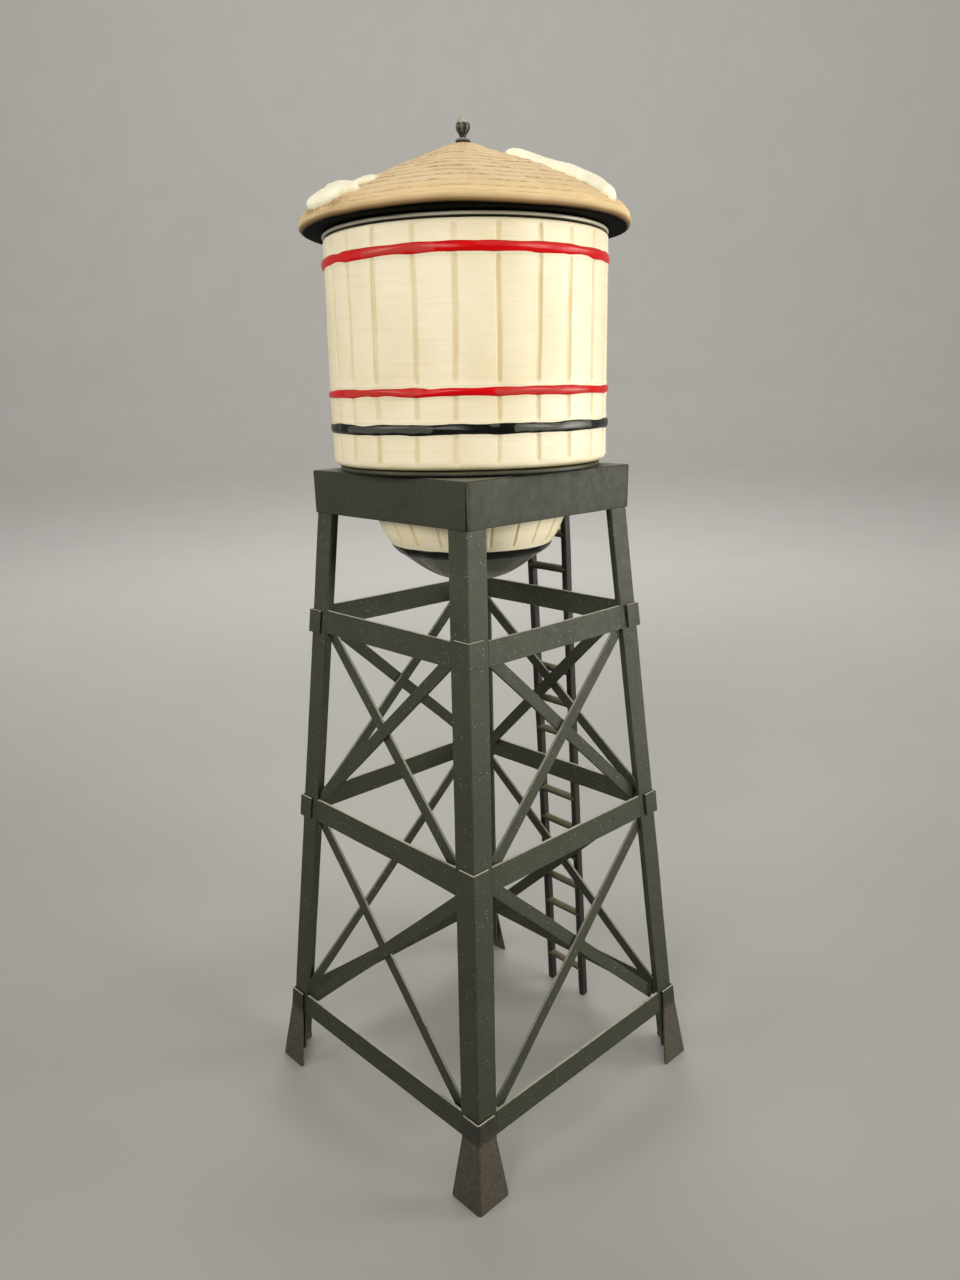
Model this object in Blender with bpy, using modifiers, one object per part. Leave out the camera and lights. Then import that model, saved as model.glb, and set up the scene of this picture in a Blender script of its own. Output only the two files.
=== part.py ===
"""Ceramic model water tower: a hooped tank with a shingled roof on a folded sheet-metal stand.

Z is up and the floor is at zero. The front corner of the stand points to +X and -Y,
and the ladder climbs the face towards +Y.
"""
import math

import bmesh
import bpy
from mathutils import Matrix, Vector

MM = 0.001
GAP = 0.3 * MM  # air kept between pieces that touch
STEPS = 48  # sides of a turned piece
QUARTER = math.pi / 2
FLOOR = 0.0

# Stand: four splayed angle legs under a folded deck
FOOT_HALF = 44.9 * MM  # half distance between leg faces at the floor
DECK_BOTTOM = 178.5 * MM
LEG_TOP_HALF = 30.9 * MM  # the same half distance at the deck's lower edge
SPLAY = (FOOT_HALF - LEG_TOP_HALF) / DECK_BOTTOM
TILT = math.atan(SPLAY)
SHEET = 0.9 * MM
LEG_FLANGE = 6.7 * MM
LEG_BOTTOM = 5.0 * MM
LEG_TOP = DECK_BOTTOM - GAP

DECK_HALF = 31.3 * MM
DECK_TOP = 190.4 * MM
DECK_SHEET = 0.8 * MM
DECK_HOLE = 28.3 * MM
SKIRT_SEAM_TOP = 0.1 * MM  # each mitred end of a skirt stays this far from the corner
SKIRT_SEAM_BOTTOM = 0.35 * MM

# Level heights are the top edges of the girts
LEVELS = {"upper": 150.9 * MM, "middle": 92.3 * MM, "lower": 24.6 * MM}
GIRT_HEIGHT = 6.7 * MM

BRACE_WIDTH = 3.5 * MM
BRACE_SHEET = 0.8 * MM
# Centre line ends of the braces: distance from the side's middle, height, in millimetres
BRACES = {
    "upper": {"rising": ((-30.4, 91.6), (26.7, 145.5)), "falling": ((-26.3, 145.5), (29.9, 91.6))},
    "lower": {"rising": ((-36.2, 23.5), (31.7, 83.9)), "falling": ((-32.6, 86.3), (34.5, 23.3))},
}
# The crossings sit off the middle on the two sides that the photo shows
BRACE_SHIFTS = {
    ("front_left", "upper"): (-2.1, -0.5), ("front_right", "upper"): (1.9, 0.5),
    ("front_left", "lower"): (-0.1, -0.8), ("front_right", "lower"): (1.6, 0.8),
}
# On the far sides some strips lie askew: sideways moves of a strip's start and its end
BRACE_SKEWS = {
    ("back_left", "upper", "falling"): (4.3, 1.3), ("back_left", "upper", "rising"): (-2.5, 1.8),
    ("back_left", "lower", "falling"): (6.0, 5.4), ("back_right", "upper", "rising"): (-3.0, 3.5),
}

PLATE_SHEET = 0.5 * MM
PLATE_WIDTH = 5.5 * MM
PLATE_LIFTS = {("front", "upper"): 0.7 * MM, ("front", "middle"): 0.5 * MM, ("left", "upper"): -0.4 * MM}
FOOT_TOP_WIDTH = 6.1 * MM
FOOT_BEND_WIDTH = 6.4 * MM
FOOT_BEND = 19.0 * MM
FOOT_BOTTOM_HALF = 46.9 * MM
FOOT_BOTTOM_WIDTH = 11.0 * MM

LADDER_MIDDLE = -2.3 * MM  # the ladder hangs off the middle and a little askew
LADDER_SKEW = math.radians(0.9)
LADDER_HALF = 7.2 * MM
LADDER_BOTTOM = 0.3 * MM
LADDER_TOP = 177.5 * MM
RAIL_WIDTH = 2.0 * MM
RAIL_DEPTH = 2.6 * MM
RUNG_RADIUS = 1.2 * MM
RUNG_PITCH = 11.25 * MM
RUNG_COUNT = 15

# Tank
TANK_RADIUS = 37.5 * MM
TANK_WALL = 3.0 * MM
TANK_BOTTOM = 192.3 * MM
TANK_TOP = 249.4 * MM
TANK_EDGE = 1.0 * MM
FLOOR_BOTTOM = DECK_TOP + GAP
FLOOR_RADIUS = 35.8 * MM
FLOOR_HOLE = 24.5 * MM  # the tank and its bowl are one hollow
HOOP_RECESS = 0.5 * MM
HOOP_PROUD = 0.35 * MM
HOOPS = {
    "upper_red_hoop": (244.4 * MM, 2.5 * MM),
    "lower_red_hoop": (211.9 * MM, 2.1 * MM),
    "black_hoop": (203.4 * MM, 2.6 * MM),
}

RING_TOP = 250.7 * MM
SOFFIT = 251.0 * MM
ROOF_RADIUS = 43.4 * MM
ROOF_TOP = 273.3 * MM
ROOF_THICK = 3.2 * MM
SOFFIT_INNER = 34.0 * MM

# Outlines of the snow on the roof: angle about Z in degrees, radius in millimetres
SNOW_LIMIT = 42.3
SNOW_LEFT = (
    (-81, 39.5), (-86, 40.6), (-88, 42.1), (-95, 42.3), (-103, 42.3), (-113, 41.3), (-130, 40.6),
    (-150, 41.2), (-166, 39.5), (-172, 34.0), (-160, 27.5), (-138, 25.5), (-114, 26.0),
    (-94, 28.5), (-84.5, 31.2), (-86, 33.8), (-88.5, 35.6), (-85, 37.4),
)
SNOW_RIGHT = (
    (13, 31.0), (12, 36.0), (9, 40.0), (11, 42.0), (17, 42.3), (25, 41.1), (36, 40.0), (58, 40.4),
    (80, 38.5), (92, 31.0), (82, 22.0), (60, 15.5), (38, 12.0), (19, 12.2), (13, 15.5), (14, 22.0),
)

BOWL_THICK = 2.0 * MM
BOWL_BAND_TOP = 169.6 * MM
BOWL_BAND_BOTTOM = 167.6 * MM

# Colours are linear
CHARCOAL = (0.062, 0.062, 0.048)
FOOT_BROWN = (0.030, 0.026, 0.022)
CREAM = (0.80, 0.72, 0.48)
RED = (0.50, 0.010, 0.018)
BLACK_GLAZE = (0.012, 0.012, 0.011)
SHINGLE_TAN = (0.52, 0.37, 0.19)
SNOW = (0.88, 0.85, 0.70)
PEWTER = (0.070, 0.068, 0.058)
LADDER_DARK = (0.050, 0.048, 0.038)


def clear_scene():
    for old in list(bpy.data.objects):
        bpy.data.objects.remove(old, do_unlink=True)


def make_collection(name):
    collection = bpy.data.collections.new(name)
    bpy.context.scene.collection.children.link(collection)
    return collection


def make_material(name, colour, roughness, metallic):
    material = bpy.data.materials.new(name)
    material.use_nodes = True
    shader = material.node_tree.nodes["Principled BSDF"]
    shader.inputs["Base Color"].default_value = (*colour, 1.0)
    shader.inputs["Roughness"].default_value = roughness
    shader.inputs["Metallic"].default_value = metallic
    material.diffuse_color = (*colour, 1.0)
    return material


def add_object(name, mesh, look, collection, smooth=False):
    """Link a mesh as an object with its own material; look is (colour, roughness, metallic)."""
    item = bpy.data.objects.new(name, mesh)
    mesh.materials.append(make_material(name + "_material", *look))
    collection.objects.link(item)
    if smooth:
        for face in mesh.polygons:
            face.use_smooth = True
    return item


def apply_modifier(item, modifier):
    with bpy.context.temp_override(object=item, active_object=item, selected_objects=[item]):
        bpy.ops.object.modifier_apply(modifier=modifier.name)


def box_mesh(name, size):
    mesh = bpy.data.meshes.new(name)
    bm = bmesh.new()
    bmesh.ops.create_cube(bm, size=1.0, matrix=Matrix.Diagonal((*size, 1.0)))
    bm.to_mesh(mesh)
    bm.free()
    return mesh


def outline_mesh(name, points, thickness):
    """Mesh of a flat outline in local X and Y, with its thickness centred on local Z."""
    curve = bpy.data.curves.new(name, "CURVE")
    curve.dimensions = "2D"
    curve.fill_mode = "BOTH"
    curve.extrude = thickness / 2
    spline = curve.splines.new("POLY")
    spline.points.add(len(points) - 1)
    for point, (x, y) in zip(spline.points, points):
        point.co = (x, y, 0.0, 1.0)
    spline.use_cyclic_u = True
    holder = bpy.data.objects.new(name + "_outline", curve)
    bpy.context.scene.collection.objects.link(holder)
    bpy.context.view_layer.update()
    evaluated = holder.evaluated_get(bpy.context.evaluated_depsgraph_get())
    mesh = bpy.data.meshes.new_from_object(evaluated)
    mesh.name = name
    bpy.data.objects.remove(holder, do_unlink=True)
    bpy.data.curves.remove(curve)
    bm = bmesh.new()
    bm.from_mesh(mesh)
    bmesh.ops.remove_doubles(bm, verts=bm.verts, dist=0.01 * MM)
    bmesh.ops.recalc_face_normals(bm, faces=bm.faces)
    bm.to_mesh(mesh)
    bm.free()
    return mesh


def turned(name, profile, look, collection, closed=True, steps=STEPS):
    """Turn a profile of (radius, height) about Z; it runs down the outer side from the top."""
    mesh = bpy.data.meshes.new(name)
    points = [(radius, 0.0, height) for radius, height in profile]
    edges = [(i, i + 1) for i in range(len(points) - 1)]
    if closed:
        edges.append((len(points) - 1, 0))
    mesh.from_pydata(points, edges, [])
    item = add_object(name, mesh, look, collection)
    screw = item.modifiers.new("Turn", "SCREW")
    screw.angle = 2 * math.pi
    screw.steps = steps
    screw.render_steps = steps
    screw.use_merge_vertices = True
    screw.merge_threshold = 0.01 * MM
    screw.use_smooth_shade = True
    return item


def leg_half(height):
    """Half distance between opposite leg faces at a height."""
    return FOOT_HALF - SPLAY * height


def angle_section(height, corner, width, thickness):
    """Six points of an angle section whose outer corner points to +X and -Y."""
    inner = corner - thickness
    end = corner - width
    outline = (
        (corner, -corner), (corner, -end), (inner, -end), (inner, -inner), (end, -inner), (end, -corner),
    )
    return [Vector((x, y, height)) for x, y in outline]


def loft_mesh(name, sections):
    """Closed mesh through sections of equal point count, the lowest first."""
    count = len(sections[0])
    bm = bmesh.new()
    rows = [[bm.verts.new(point) for point in section] for section in sections]
    for lower, upper in zip(rows, rows[1:]):
        for i in range(count):
            j = (i + 1) % count
            bm.faces.new((lower[i], lower[j], upper[j], upper[i]))
    bm.faces.new(list(reversed(rows[0])))
    bm.faces.new(rows[-1])
    bmesh.ops.recalc_face_normals(bm, faces=bm.faces)
    mesh = bpy.data.meshes.new(name)
    bm.to_mesh(mesh)
    bm.free()
    return mesh


def lofted(name, sections, look, collection, turn):
    item = add_object(name, loft_mesh(name, sections), look, collection)
    item.rotation_euler = (0.0, 0.0, turn)
    return item


def face_matrix(turn):
    """Frame of one side of the stand: X along the side, Z up its slope, -Y outward."""
    lean = Matrix.Translation((0.0, -FOOT_HALF, 0.0)) @ Matrix.Rotation(-TILT, 4, "X")
    return Matrix.Rotation(turn, 4, "Z") @ lean


def add_legs(corners, collection):
    look = (CHARCOAL, 0.55, 0.0)
    for corner, turn in corners.items():
        ends = [angle_section(z, leg_half(z), LEG_FLANGE, SHEET) for z in (LEG_BOTTOM, LEG_TOP)]
        lofted(corner + "_leg", ends, look, collection, turn)


def add_corner_plates(corners, collection):
    look = (CHARCOAL, 0.55, 0.0)
    reach = GAP + PLATE_SHEET
    for level in ("upper", "middle"):
        for corner, turn in corners.items():
            top = LEVELS[level] + PLATE_LIFTS.get((corner, level), 0.0)
            heights = (top - GIRT_HEIGHT, top)
            ends = [angle_section(z, leg_half(z) + reach, PLATE_WIDTH, PLATE_SHEET) for z in heights]
            lofted(f"{corner}_{level}_corner_plate", ends, look, collection, turn)


def add_feet(corners, collection):
    look = (FOOT_BROWN, 0.6, 0.0)
    reach = GAP + PLATE_SHEET
    top = LEVELS["lower"]
    bend_half = leg_half(FOOT_BEND) + reach
    sections = [
        angle_section(FLOOR, FOOT_BOTTOM_HALF, FOOT_BOTTOM_WIDTH, PLATE_SHEET),
        angle_section(FOOT_BEND, bend_half, FOOT_BEND_WIDTH, PLATE_SHEET),
        angle_section(top, leg_half(top) + reach, FOOT_TOP_WIDTH, PLATE_SHEET),
    ]
    for corner, turn in corners.items():
        lofted(corner + "_foot", sections, look, collection, turn)


def add_girts(sides, collection):
    """Flat strips between the leg flanges and flush with them."""
    look = (CHARCOAL, 0.55, 0.0)
    upright = Matrix.Rotation(QUARTER, 4, "X")
    for level, top in LEVELS.items():
        bottom = top - GIRT_HEIGHT
        upper = leg_half(top) - LEG_FLANGE - GAP
        lower = leg_half(bottom) - LEG_FLANGE - GAP
        low, high = (z / math.cos(TILT) for z in (bottom, top))
        outline = ((-lower, low), (lower, low), (upper, high), (-upper, high))
        for side, turn in sides.items():
            mesh = outline_mesh(f"{side}_{level}_girt", outline, SHEET)
            mesh.transform(Matrix.Translation((0.0, SHEET / 2, 0.0)) @ upright)
            item = add_object(mesh.name, mesh, look, collection)
            item.matrix_world = face_matrix(turn)


def add_braces(sides, collection):
    """Flat strips crossing behind the girts, the rising one in front."""
    look = (CHARCOAL, 0.55, 0.0)
    first = SHEET + GAP + BRACE_SHEET / 2
    depths = {"rising": first, "falling": first + BRACE_SHEET + GAP}
    for bay, strips in BRACES.items():
        for lie, ends in strips.items():
            for side, turn in sides.items():
                skews = BRACE_SKEWS.get((side, bay, lie), (0.0, 0.0))
                start, end = (
                    Vector(((u + skew) * MM, 0.0, z * MM / math.cos(TILT)))
                    for (u, z), skew in zip(ends, skews)
                )
                run = end - start
                angle = -math.atan2(run.z, run.x)
                centre = (start + end) / 2 + Vector((0.0, depths[lie], 0.0))
                place = Matrix.Translation(centre) @ Matrix.Rotation(angle, 4, "Y")
                mesh = box_mesh(f"{side}_{bay}_{lie}_brace", (run.length, BRACE_SHEET, BRACE_WIDTH))
                item = add_object(mesh.name, mesh, look, collection)
                aside, above = BRACE_SHIFTS.get((side, bay), (0.0, 0.0))
                shift = Matrix.Translation((aside * MM, 0.0, above * MM))
                item.matrix_world = face_matrix(turn) @ shift @ place


def add_ladder(turn, collection):
    """Two rails and their round rungs as one casting, leaning with the stand."""
    height = LADDER_TOP - LADDER_BOTTOM
    middle = (LADDER_TOP + LADDER_BOTTOM) / 2
    bm = bmesh.new()
    for side in (-1, 1):
        place = Matrix.Translation((side * LADDER_HALF, 0.0, middle))
        size = Matrix.Diagonal((RAIL_WIDTH, RAIL_DEPTH, height, 1.0))
        bmesh.ops.create_cube(bm, size=1.0, matrix=place @ size)
    mesh = bpy.data.meshes.new("ladder")
    bm.to_mesh(mesh)
    bm.free()
    ladder = add_object("ladder", mesh, (LADDER_DARK, 0.6, 0.0), collection)
    bm = bmesh.new()
    across = Matrix.Rotation(QUARTER, 4, "Y")
    for rung in range(RUNG_COUNT):
        place = Matrix.Translation((0.0, 0.0, RUNG_PITCH * (rung + 1)))
        bmesh.ops.create_cone(
            bm, cap_ends=True, segments=8, radius1=RUNG_RADIUS, radius2=RUNG_RADIUS,
            depth=2 * LADDER_HALF, matrix=place @ across,
        )
    rungs_mesh = bpy.data.meshes.new("ladder_rungs")
    bm.to_mesh(rungs_mesh)
    bm.free()
    rungs = bpy.data.objects.new("ladder_rungs", rungs_mesh)
    bpy.context.scene.collection.objects.link(rungs)
    join = ladder.modifiers.new("Rungs", "BOOLEAN")
    join.operation = "UNION"
    join.solver = "EXACT"
    join.object = rungs
    apply_modifier(ladder, join)
    bpy.data.objects.remove(rungs, do_unlink=True)
    # The frame of the far side has its X towards the stand's -X
    out = RAIL_DEPTH / 2 + GAP
    hang = Matrix.Translation((-LADDER_MIDDLE, -out, middle)) @ Matrix.Rotation(-LADDER_SKEW, 4, "Y")
    ladder.matrix_world = face_matrix(turn) @ hang @ Matrix.Translation((0.0, 0.0, -middle))


def add_deck(collection, cutters):
    """Folded tray: a top sheet with a round hole and four skirts, open at the corners."""
    look = (CHARCOAL, 0.55, 0.0)
    mesh = box_mesh("deck", (2 * DECK_HALF, 2 * DECK_HALF, DECK_SHEET))
    deck = add_object("deck", mesh, look, collection)
    for vertex in mesh.vertices:
        vertex.co.z += DECK_TOP - DECK_SHEET / 2
    inner = DECK_HALF - DECK_SHEET
    join_height = DECK_TOP - DECK_SHEET / 2
    sections = []
    for z, seam in ((DECK_BOTTOM, SKIRT_SEAM_BOTTOM), (join_height, SKIRT_SEAM_TOP)):
        long, short = DECK_HALF - seam, inner - seam
        outline = ((-long, -DECK_HALF), (long, -DECK_HALF), (short, -inner), (-short, -inner))
        sections.append([Vector((x, y, z)) for x, y in outline])
    for side in range(4):
        panel_mesh = loft_mesh(f"skirt_{side}", sections)
        panel_mesh.transform(Matrix.Rotation(side * QUARTER, 4, "Z"))
        panel = bpy.data.objects.new(panel_mesh.name, panel_mesh)
        cutters.objects.link(panel)
        join = deck.modifiers.new("Skirt", "BOOLEAN")
        join.operation = "UNION"
        join.solver = "EXACT"
        join.object = panel
        apply_modifier(deck, join)
        bpy.data.objects.remove(panel, do_unlink=True)
    hole_mesh = bpy.data.meshes.new("deck_hole")
    bm = bmesh.new()
    bmesh.ops.create_cone(
        bm, cap_ends=True, segments=STEPS, radius1=DECK_HOLE, radius2=DECK_HOLE,
        depth=8 * DECK_SHEET, matrix=Matrix.Translation((0.0, 0.0, DECK_TOP)),
    )
    bm.to_mesh(hole_mesh)
    bm.free()
    hole = bpy.data.objects.new("deck_hole", hole_mesh)
    hole.hide_render = True
    hole.display_type = "WIRE"
    cutters.objects.link(hole)
    cut = deck.modifiers.new("Hole", "BOOLEAN")
    cut.operation = "DIFFERENCE"
    cut.solver = "EXACT"
    cut.object = hole
    return deck


def add_tank(collection):
    """Open wall, its floor step and the hoops that sit in shallow recesses."""
    outer = [(TANK_RADIUS - TANK_EDGE / 2, TANK_TOP), (TANK_RADIUS, TANK_TOP - TANK_EDGE / 2)]
    for top, height in HOOPS.values():
        inset = TANK_RADIUS - HOOP_RECESS
        upper = top + GAP
        lower = top - height - GAP
        outer += [(TANK_RADIUS, upper), (inset, upper), (inset, lower), (TANK_RADIUS, lower)]
    soft = 0.3 * TANK_EDGE
    outer += [(TANK_RADIUS, TANK_BOTTOM + TANK_EDGE), (TANK_RADIUS - soft, TANK_BOTTOM + soft)]
    outer += [(TANK_RADIUS - TANK_EDGE, TANK_BOTTOM)]
    inner = TANK_RADIUS - TANK_WALL
    turned("tank_wall", outer + [(inner, TANK_BOTTOM), (inner, TANK_TOP)], (CREAM, 0.3, 0.0), collection)
    for name, (top, height) in HOOPS.items():
        colour = BLACK_GLAZE if "black" in name else RED
        face = TANK_RADIUS + HOOP_PROUD
        back = TANK_RADIUS - HOOP_RECESS + GAP
        bottom = top - height
        soft = 0.25 * height
        edge = face - 0.3 * MM
        profile = [(edge, top), (face, top - soft), (face, bottom + soft), (edge, bottom)]
        turned(name, profile + [(back, bottom), (back, top)], (colour, 0.15, 0.0), collection)
    floor_top = TANK_BOTTOM - GAP
    floor = [(FLOOR_RADIUS, floor_top), (FLOOR_RADIUS, FLOOR_BOTTOM)]
    floor += [(FLOOR_HOLE, FLOOR_BOTTOM), (FLOOR_HOLE, floor_top)]
    turned("tank_floor", floor, (BLACK_GLAZE, 0.3, 0.0), collection)


def roof_height(radius):
    """Height of the roof's outer face at a radius inside its eave."""
    points = (
        (0.0, ROOF_TOP), (3.8 * MM, 272.3 * MM), (7.9 * MM, 270.6 * MM), (13.9 * MM, 268.2 * MM),
        (22.0 * MM, 264.8 * MM), (29.7 * MM, 261.3 * MM), (36.2 * MM, 258.3 * MM), (41.3 * MM, 255.8 * MM),
        (42.7 * MM, 254.5 * MM), (ROOF_RADIUS, 252.9 * MM),
    )
    for (r0, z0), (r1, z1) in zip(points, points[1:]):
        if radius <= r1:
            return z0 + (z1 - z0) * (radius - r0) / (r1 - r0)
    return points[-1][1]


def add_roof(collection):
    radii = [0.0] + [r * MM for r in (3.8, 7.9, 13.9, 22.0, 29.7, 36.2, 41.3, 42.7)] + [ROOF_RADIUS]
    outer = [(r, roof_height(r)) for r in radii]
    outer += [(ROOF_RADIUS - 0.5 * MM, SOFFIT + 0.5 * MM), (ROOF_RADIUS - 1.6 * MM, SOFFIT)]
    rim = roof_height(SOFFIT_INNER) - ROOF_THICK
    inside = [(SOFFIT_INNER, SOFFIT), (SOFFIT_INNER, rim)]
    inside += [(13.9 * MM, roof_height(13.9 * MM) - ROOF_THICK), (0.0, ROOF_TOP - 1.6 * ROOF_THICK)]
    turned("roof", outer + inside, (SHINGLE_TAN, 0.6, 0.0), collection, closed=False)
    ring = TANK_RADIUS + 0.1 * MM
    inner = TANK_RADIUS - TANK_WALL
    bottom = TANK_TOP + GAP
    profile = [(ring - 0.4 * MM, RING_TOP), (ring, (RING_TOP + bottom) / 2), (ring - 0.4 * MM, bottom)]
    turned("roof_ring", profile + [(inner, bottom), (inner, RING_TOP)], (BLACK_GLAZE, 0.15, 0.0), collection)


def add_finial(collection):
    """Bud on a round collar, standing in the middle of the roof."""
    base = ROOF_TOP + GAP
    profile = [
        (0.0, 280.0 * MM), (0.45 * MM, 279.5 * MM), (1.3 * MM, 278.5 * MM), (1.85 * MM, 277.4 * MM),
        (1.7 * MM, 276.5 * MM), (1.1 * MM, 275.4 * MM), (0.95 * MM, 274.8 * MM), (1.1 * MM, 274.6 * MM),
        (1.75 * MM, 274.5 * MM), (1.9 * MM, 274.2 * MM), (1.9 * MM, base), (0.0, base),
    ]
    turned("finial", profile, (PEWTER, 0.45, 0.6), collection, closed=False, steps=20)


def add_bowl(collection):
    """Rounded underside of the tank, hanging through the deck's hole."""
    top = DECK_TOP
    shoulder = 27.6 * MM
    outer = [
        (shoulder, top), (27.5 * MM, 180.0 * MM), (27.0 * MM, 177.8 * MM), (25.9 * MM, 175.6 * MM),
        (24.5 * MM, 172.5 * MM), (22.7 * MM, BOWL_BAND_TOP + GAP), (22.0 * MM, BOWL_BAND_TOP + GAP),
        (20.2 * MM, BOWL_BAND_BOTTOM - GAP), (19.9 * MM, 166.9 * MM), (17.6 * MM, 165.2 * MM),
        (13.6 * MM, 162.4 * MM), (9.5 * MM, 160.3 * MM), (4.8 * MM, 159.1 * MM), (0.0, 158.7 * MM),
    ]
    inner = [
        (0.0, 158.7 * MM + BOWL_THICK), (9.0 * MM, 162.5 * MM), (17.2 * MM, 167.6 * MM),
        (22.6 * MM, 173.0 * MM), (25.2 * MM, 179.0 * MM), (shoulder - BOWL_THICK, top),
    ]
    turned("bowl", outer + inner, (CREAM, 0.3, 0.0), collection)
    band = [(22.9 * MM, BOWL_BAND_TOP), (22.6 * MM, 168.7 * MM), (21.6 * MM, BOWL_BAND_BOTTOM)]
    band += [(20.7 * MM, BOWL_BAND_BOTTOM), (22.3 * MM, BOWL_BAND_TOP)]
    turned("bowl_black_band", band, (BLACK_GLAZE, 0.15, 0.0), collection)


def smooth_loop(points, count):
    """Evenly many places on a closed Catmull-Rom curve through 2D points."""
    total = len(points)
    loop = []
    for step in range(count):
        place = step * total / count
        i = int(place)
        t = place - i
        p0, p1, p2, p3 = (Vector(points[(i + k) % total]) for k in (-1, 0, 1, 2))
        bend = (2 * p0 - 5 * p1 + 4 * p2 - p3) * t * t + (3 * p1 - p0 - 3 * p2 + p3) * t ** 3
        loop.append(p1 + 0.5 * ((p2 - p0) * t + bend))
    return loop


def add_snow_patch(name, outline, middle, depths, collection):
    """Soft patch of snow on the roof.

    The outline and its middle are (angle in degrees, radius in millimetres), and depths are
    the patch's heights above the roof at its upper and its lower end, in millimetres.
    """
    edge = 0.7 * MM
    rings = 6
    segments = 3 * len(outline)
    loop = smooth_loop(outline, segments)
    centre = Vector(middle)
    innermost = min(spot.y for spot in loop)
    outermost = max(spot.y for spot in loop)

    def full_depth(spot):
        share = (spot.y - innermost) / (outermost - innermost)
        return (depths[0] + (depths[1] - depths[0]) * share) * MM

    def place(spot, height):
        angle = math.radians(spot.x)
        radius = min(spot.y, SNOW_LIMIT) * MM
        rise = roof_height(radius) + GAP + height
        return Vector((radius * math.cos(angle), radius * math.sin(angle), rise))

    bm = bmesh.new()
    tops = []
    bottoms = []
    for ring in range(1, rings + 1):
        share = ring / rings
        swell = (1.0 - share ** 2.6) ** 0.55
        spots = [centre.lerp(spot, share) for spot in loop]
        heights = [edge + (full_depth(spot) - edge) * swell for spot in spots]
        tops.append([bm.verts.new(place(*pair)) for pair in zip(spots, heights)])
        bottoms.append([bm.verts.new(place(spot, 0.0)) for spot in spots])
    top_centre = bm.verts.new(place(centre, full_depth(centre)))
    bottom_centre = bm.verts.new(place(centre, 0.0))
    for i in range(segments):
        j = (i + 1) % segments
        bm.faces.new((top_centre, tops[0][i], tops[0][j]))
        bm.faces.new((bottom_centre, bottoms[0][j], bottoms[0][i]))
        bm.faces.new((tops[-1][i], bottoms[-1][i], bottoms[-1][j], tops[-1][j]))
        for rows in (tops, bottoms):
            for near, far in zip(rows, rows[1:]):
                bm.faces.new((near[i], far[i], far[j], near[j]))
    bmesh.ops.recalc_face_normals(bm, faces=bm.faces)
    mesh = bpy.data.meshes.new(name)
    bm.to_mesh(mesh)
    bm.free()
    add_object(name, mesh, (SNOW, 0.85, 0.0), collection, smooth=True)


def build():
    clear_scene()
    collection = make_collection("water_tower")
    cutters = make_collection("cutters")
    corners = {"front": 0.0, "right": QUARTER, "back": 2 * QUARTER, "left": 3 * QUARTER}
    sides = {"front_left": 0.0, "front_right": QUARTER, "back_right": 2 * QUARTER, "back_left": 3 * QUARTER}
    add_legs(corners, collection)
    add_corner_plates(corners, collection)
    add_feet(corners, collection)
    add_girts(sides, collection)
    add_braces(sides, collection)
    add_ladder(sides["back_right"], collection)
    add_deck(collection, cutters)
    add_tank(collection)
    add_roof(collection)
    add_finial(collection)
    add_bowl(collection)
    add_snow_patch("snow_patch_left", SNOW_LEFT, (-126.0, 34.5), (1.0, 2.7), collection)
    add_snow_patch("snow_patch_right", SNOW_RIGHT, (48.0, 28.0), (3.0, 3.7), collection)


build()
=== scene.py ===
"""Looks of the ceramic model water tower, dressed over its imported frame.

Metres, Z up. The front corner of the stand points to +X and -Y, towards the camera, and
the ladder climbs the far side. Glazed and painted pieces replace the plain solids they
stand for, at the same places.
"""

import math

import bmesh
import bpy
import numpy as np
from mathutils import Matrix, Vector, noise


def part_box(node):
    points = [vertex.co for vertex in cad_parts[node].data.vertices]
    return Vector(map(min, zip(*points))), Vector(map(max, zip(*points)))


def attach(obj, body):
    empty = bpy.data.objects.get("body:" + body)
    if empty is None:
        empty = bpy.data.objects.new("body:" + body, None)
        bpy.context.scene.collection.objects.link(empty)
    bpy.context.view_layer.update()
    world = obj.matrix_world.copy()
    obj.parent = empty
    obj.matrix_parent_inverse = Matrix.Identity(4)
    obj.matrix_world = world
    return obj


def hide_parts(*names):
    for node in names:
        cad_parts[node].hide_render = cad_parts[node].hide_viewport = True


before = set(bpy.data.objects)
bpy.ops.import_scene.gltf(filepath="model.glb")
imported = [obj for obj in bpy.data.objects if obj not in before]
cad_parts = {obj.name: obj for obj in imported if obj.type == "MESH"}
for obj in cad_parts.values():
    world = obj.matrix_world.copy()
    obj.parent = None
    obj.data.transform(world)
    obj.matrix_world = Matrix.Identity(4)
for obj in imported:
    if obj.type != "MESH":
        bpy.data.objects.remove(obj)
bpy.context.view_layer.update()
# The slight bends of the sheets come from noise that is different each time unless it has a seed
noise.seed_set(5)

MM = 0.001
FULL_TURN = 2 * math.pi

# Tank, in millimetres like every bare size below
TANK_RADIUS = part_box("tank_wall")[1].x / MM
TANK_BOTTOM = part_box("tank_wall")[0].z / MM
TANK_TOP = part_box("tank_wall")[1].z / MM
TANK_WALL = 3.0
TANK_INNER = TANK_RADIUS - TANK_WALL
# Directions of the stave lines seen in the photo, in degrees; the far side goes on evenly
STAVE_LINES_SEEN = (-106.6, -93.9, -79.8, -62.7, -47.7, -31.9, -16.1, -1.5, 14.0, 28.0)
STAVE_COUNT = 23
STAVE_LEAN = 0.6  # degrees in 30 mm of height
GROOVE_HALF = 0.85
GROOVE_DEPTH = 0.34
HOOP_SPANS = {
    name: tuple(corner.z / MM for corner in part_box(name))
    for name in ("upper_red_hoop", "lower_red_hoop", "black_hoop")
}
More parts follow.
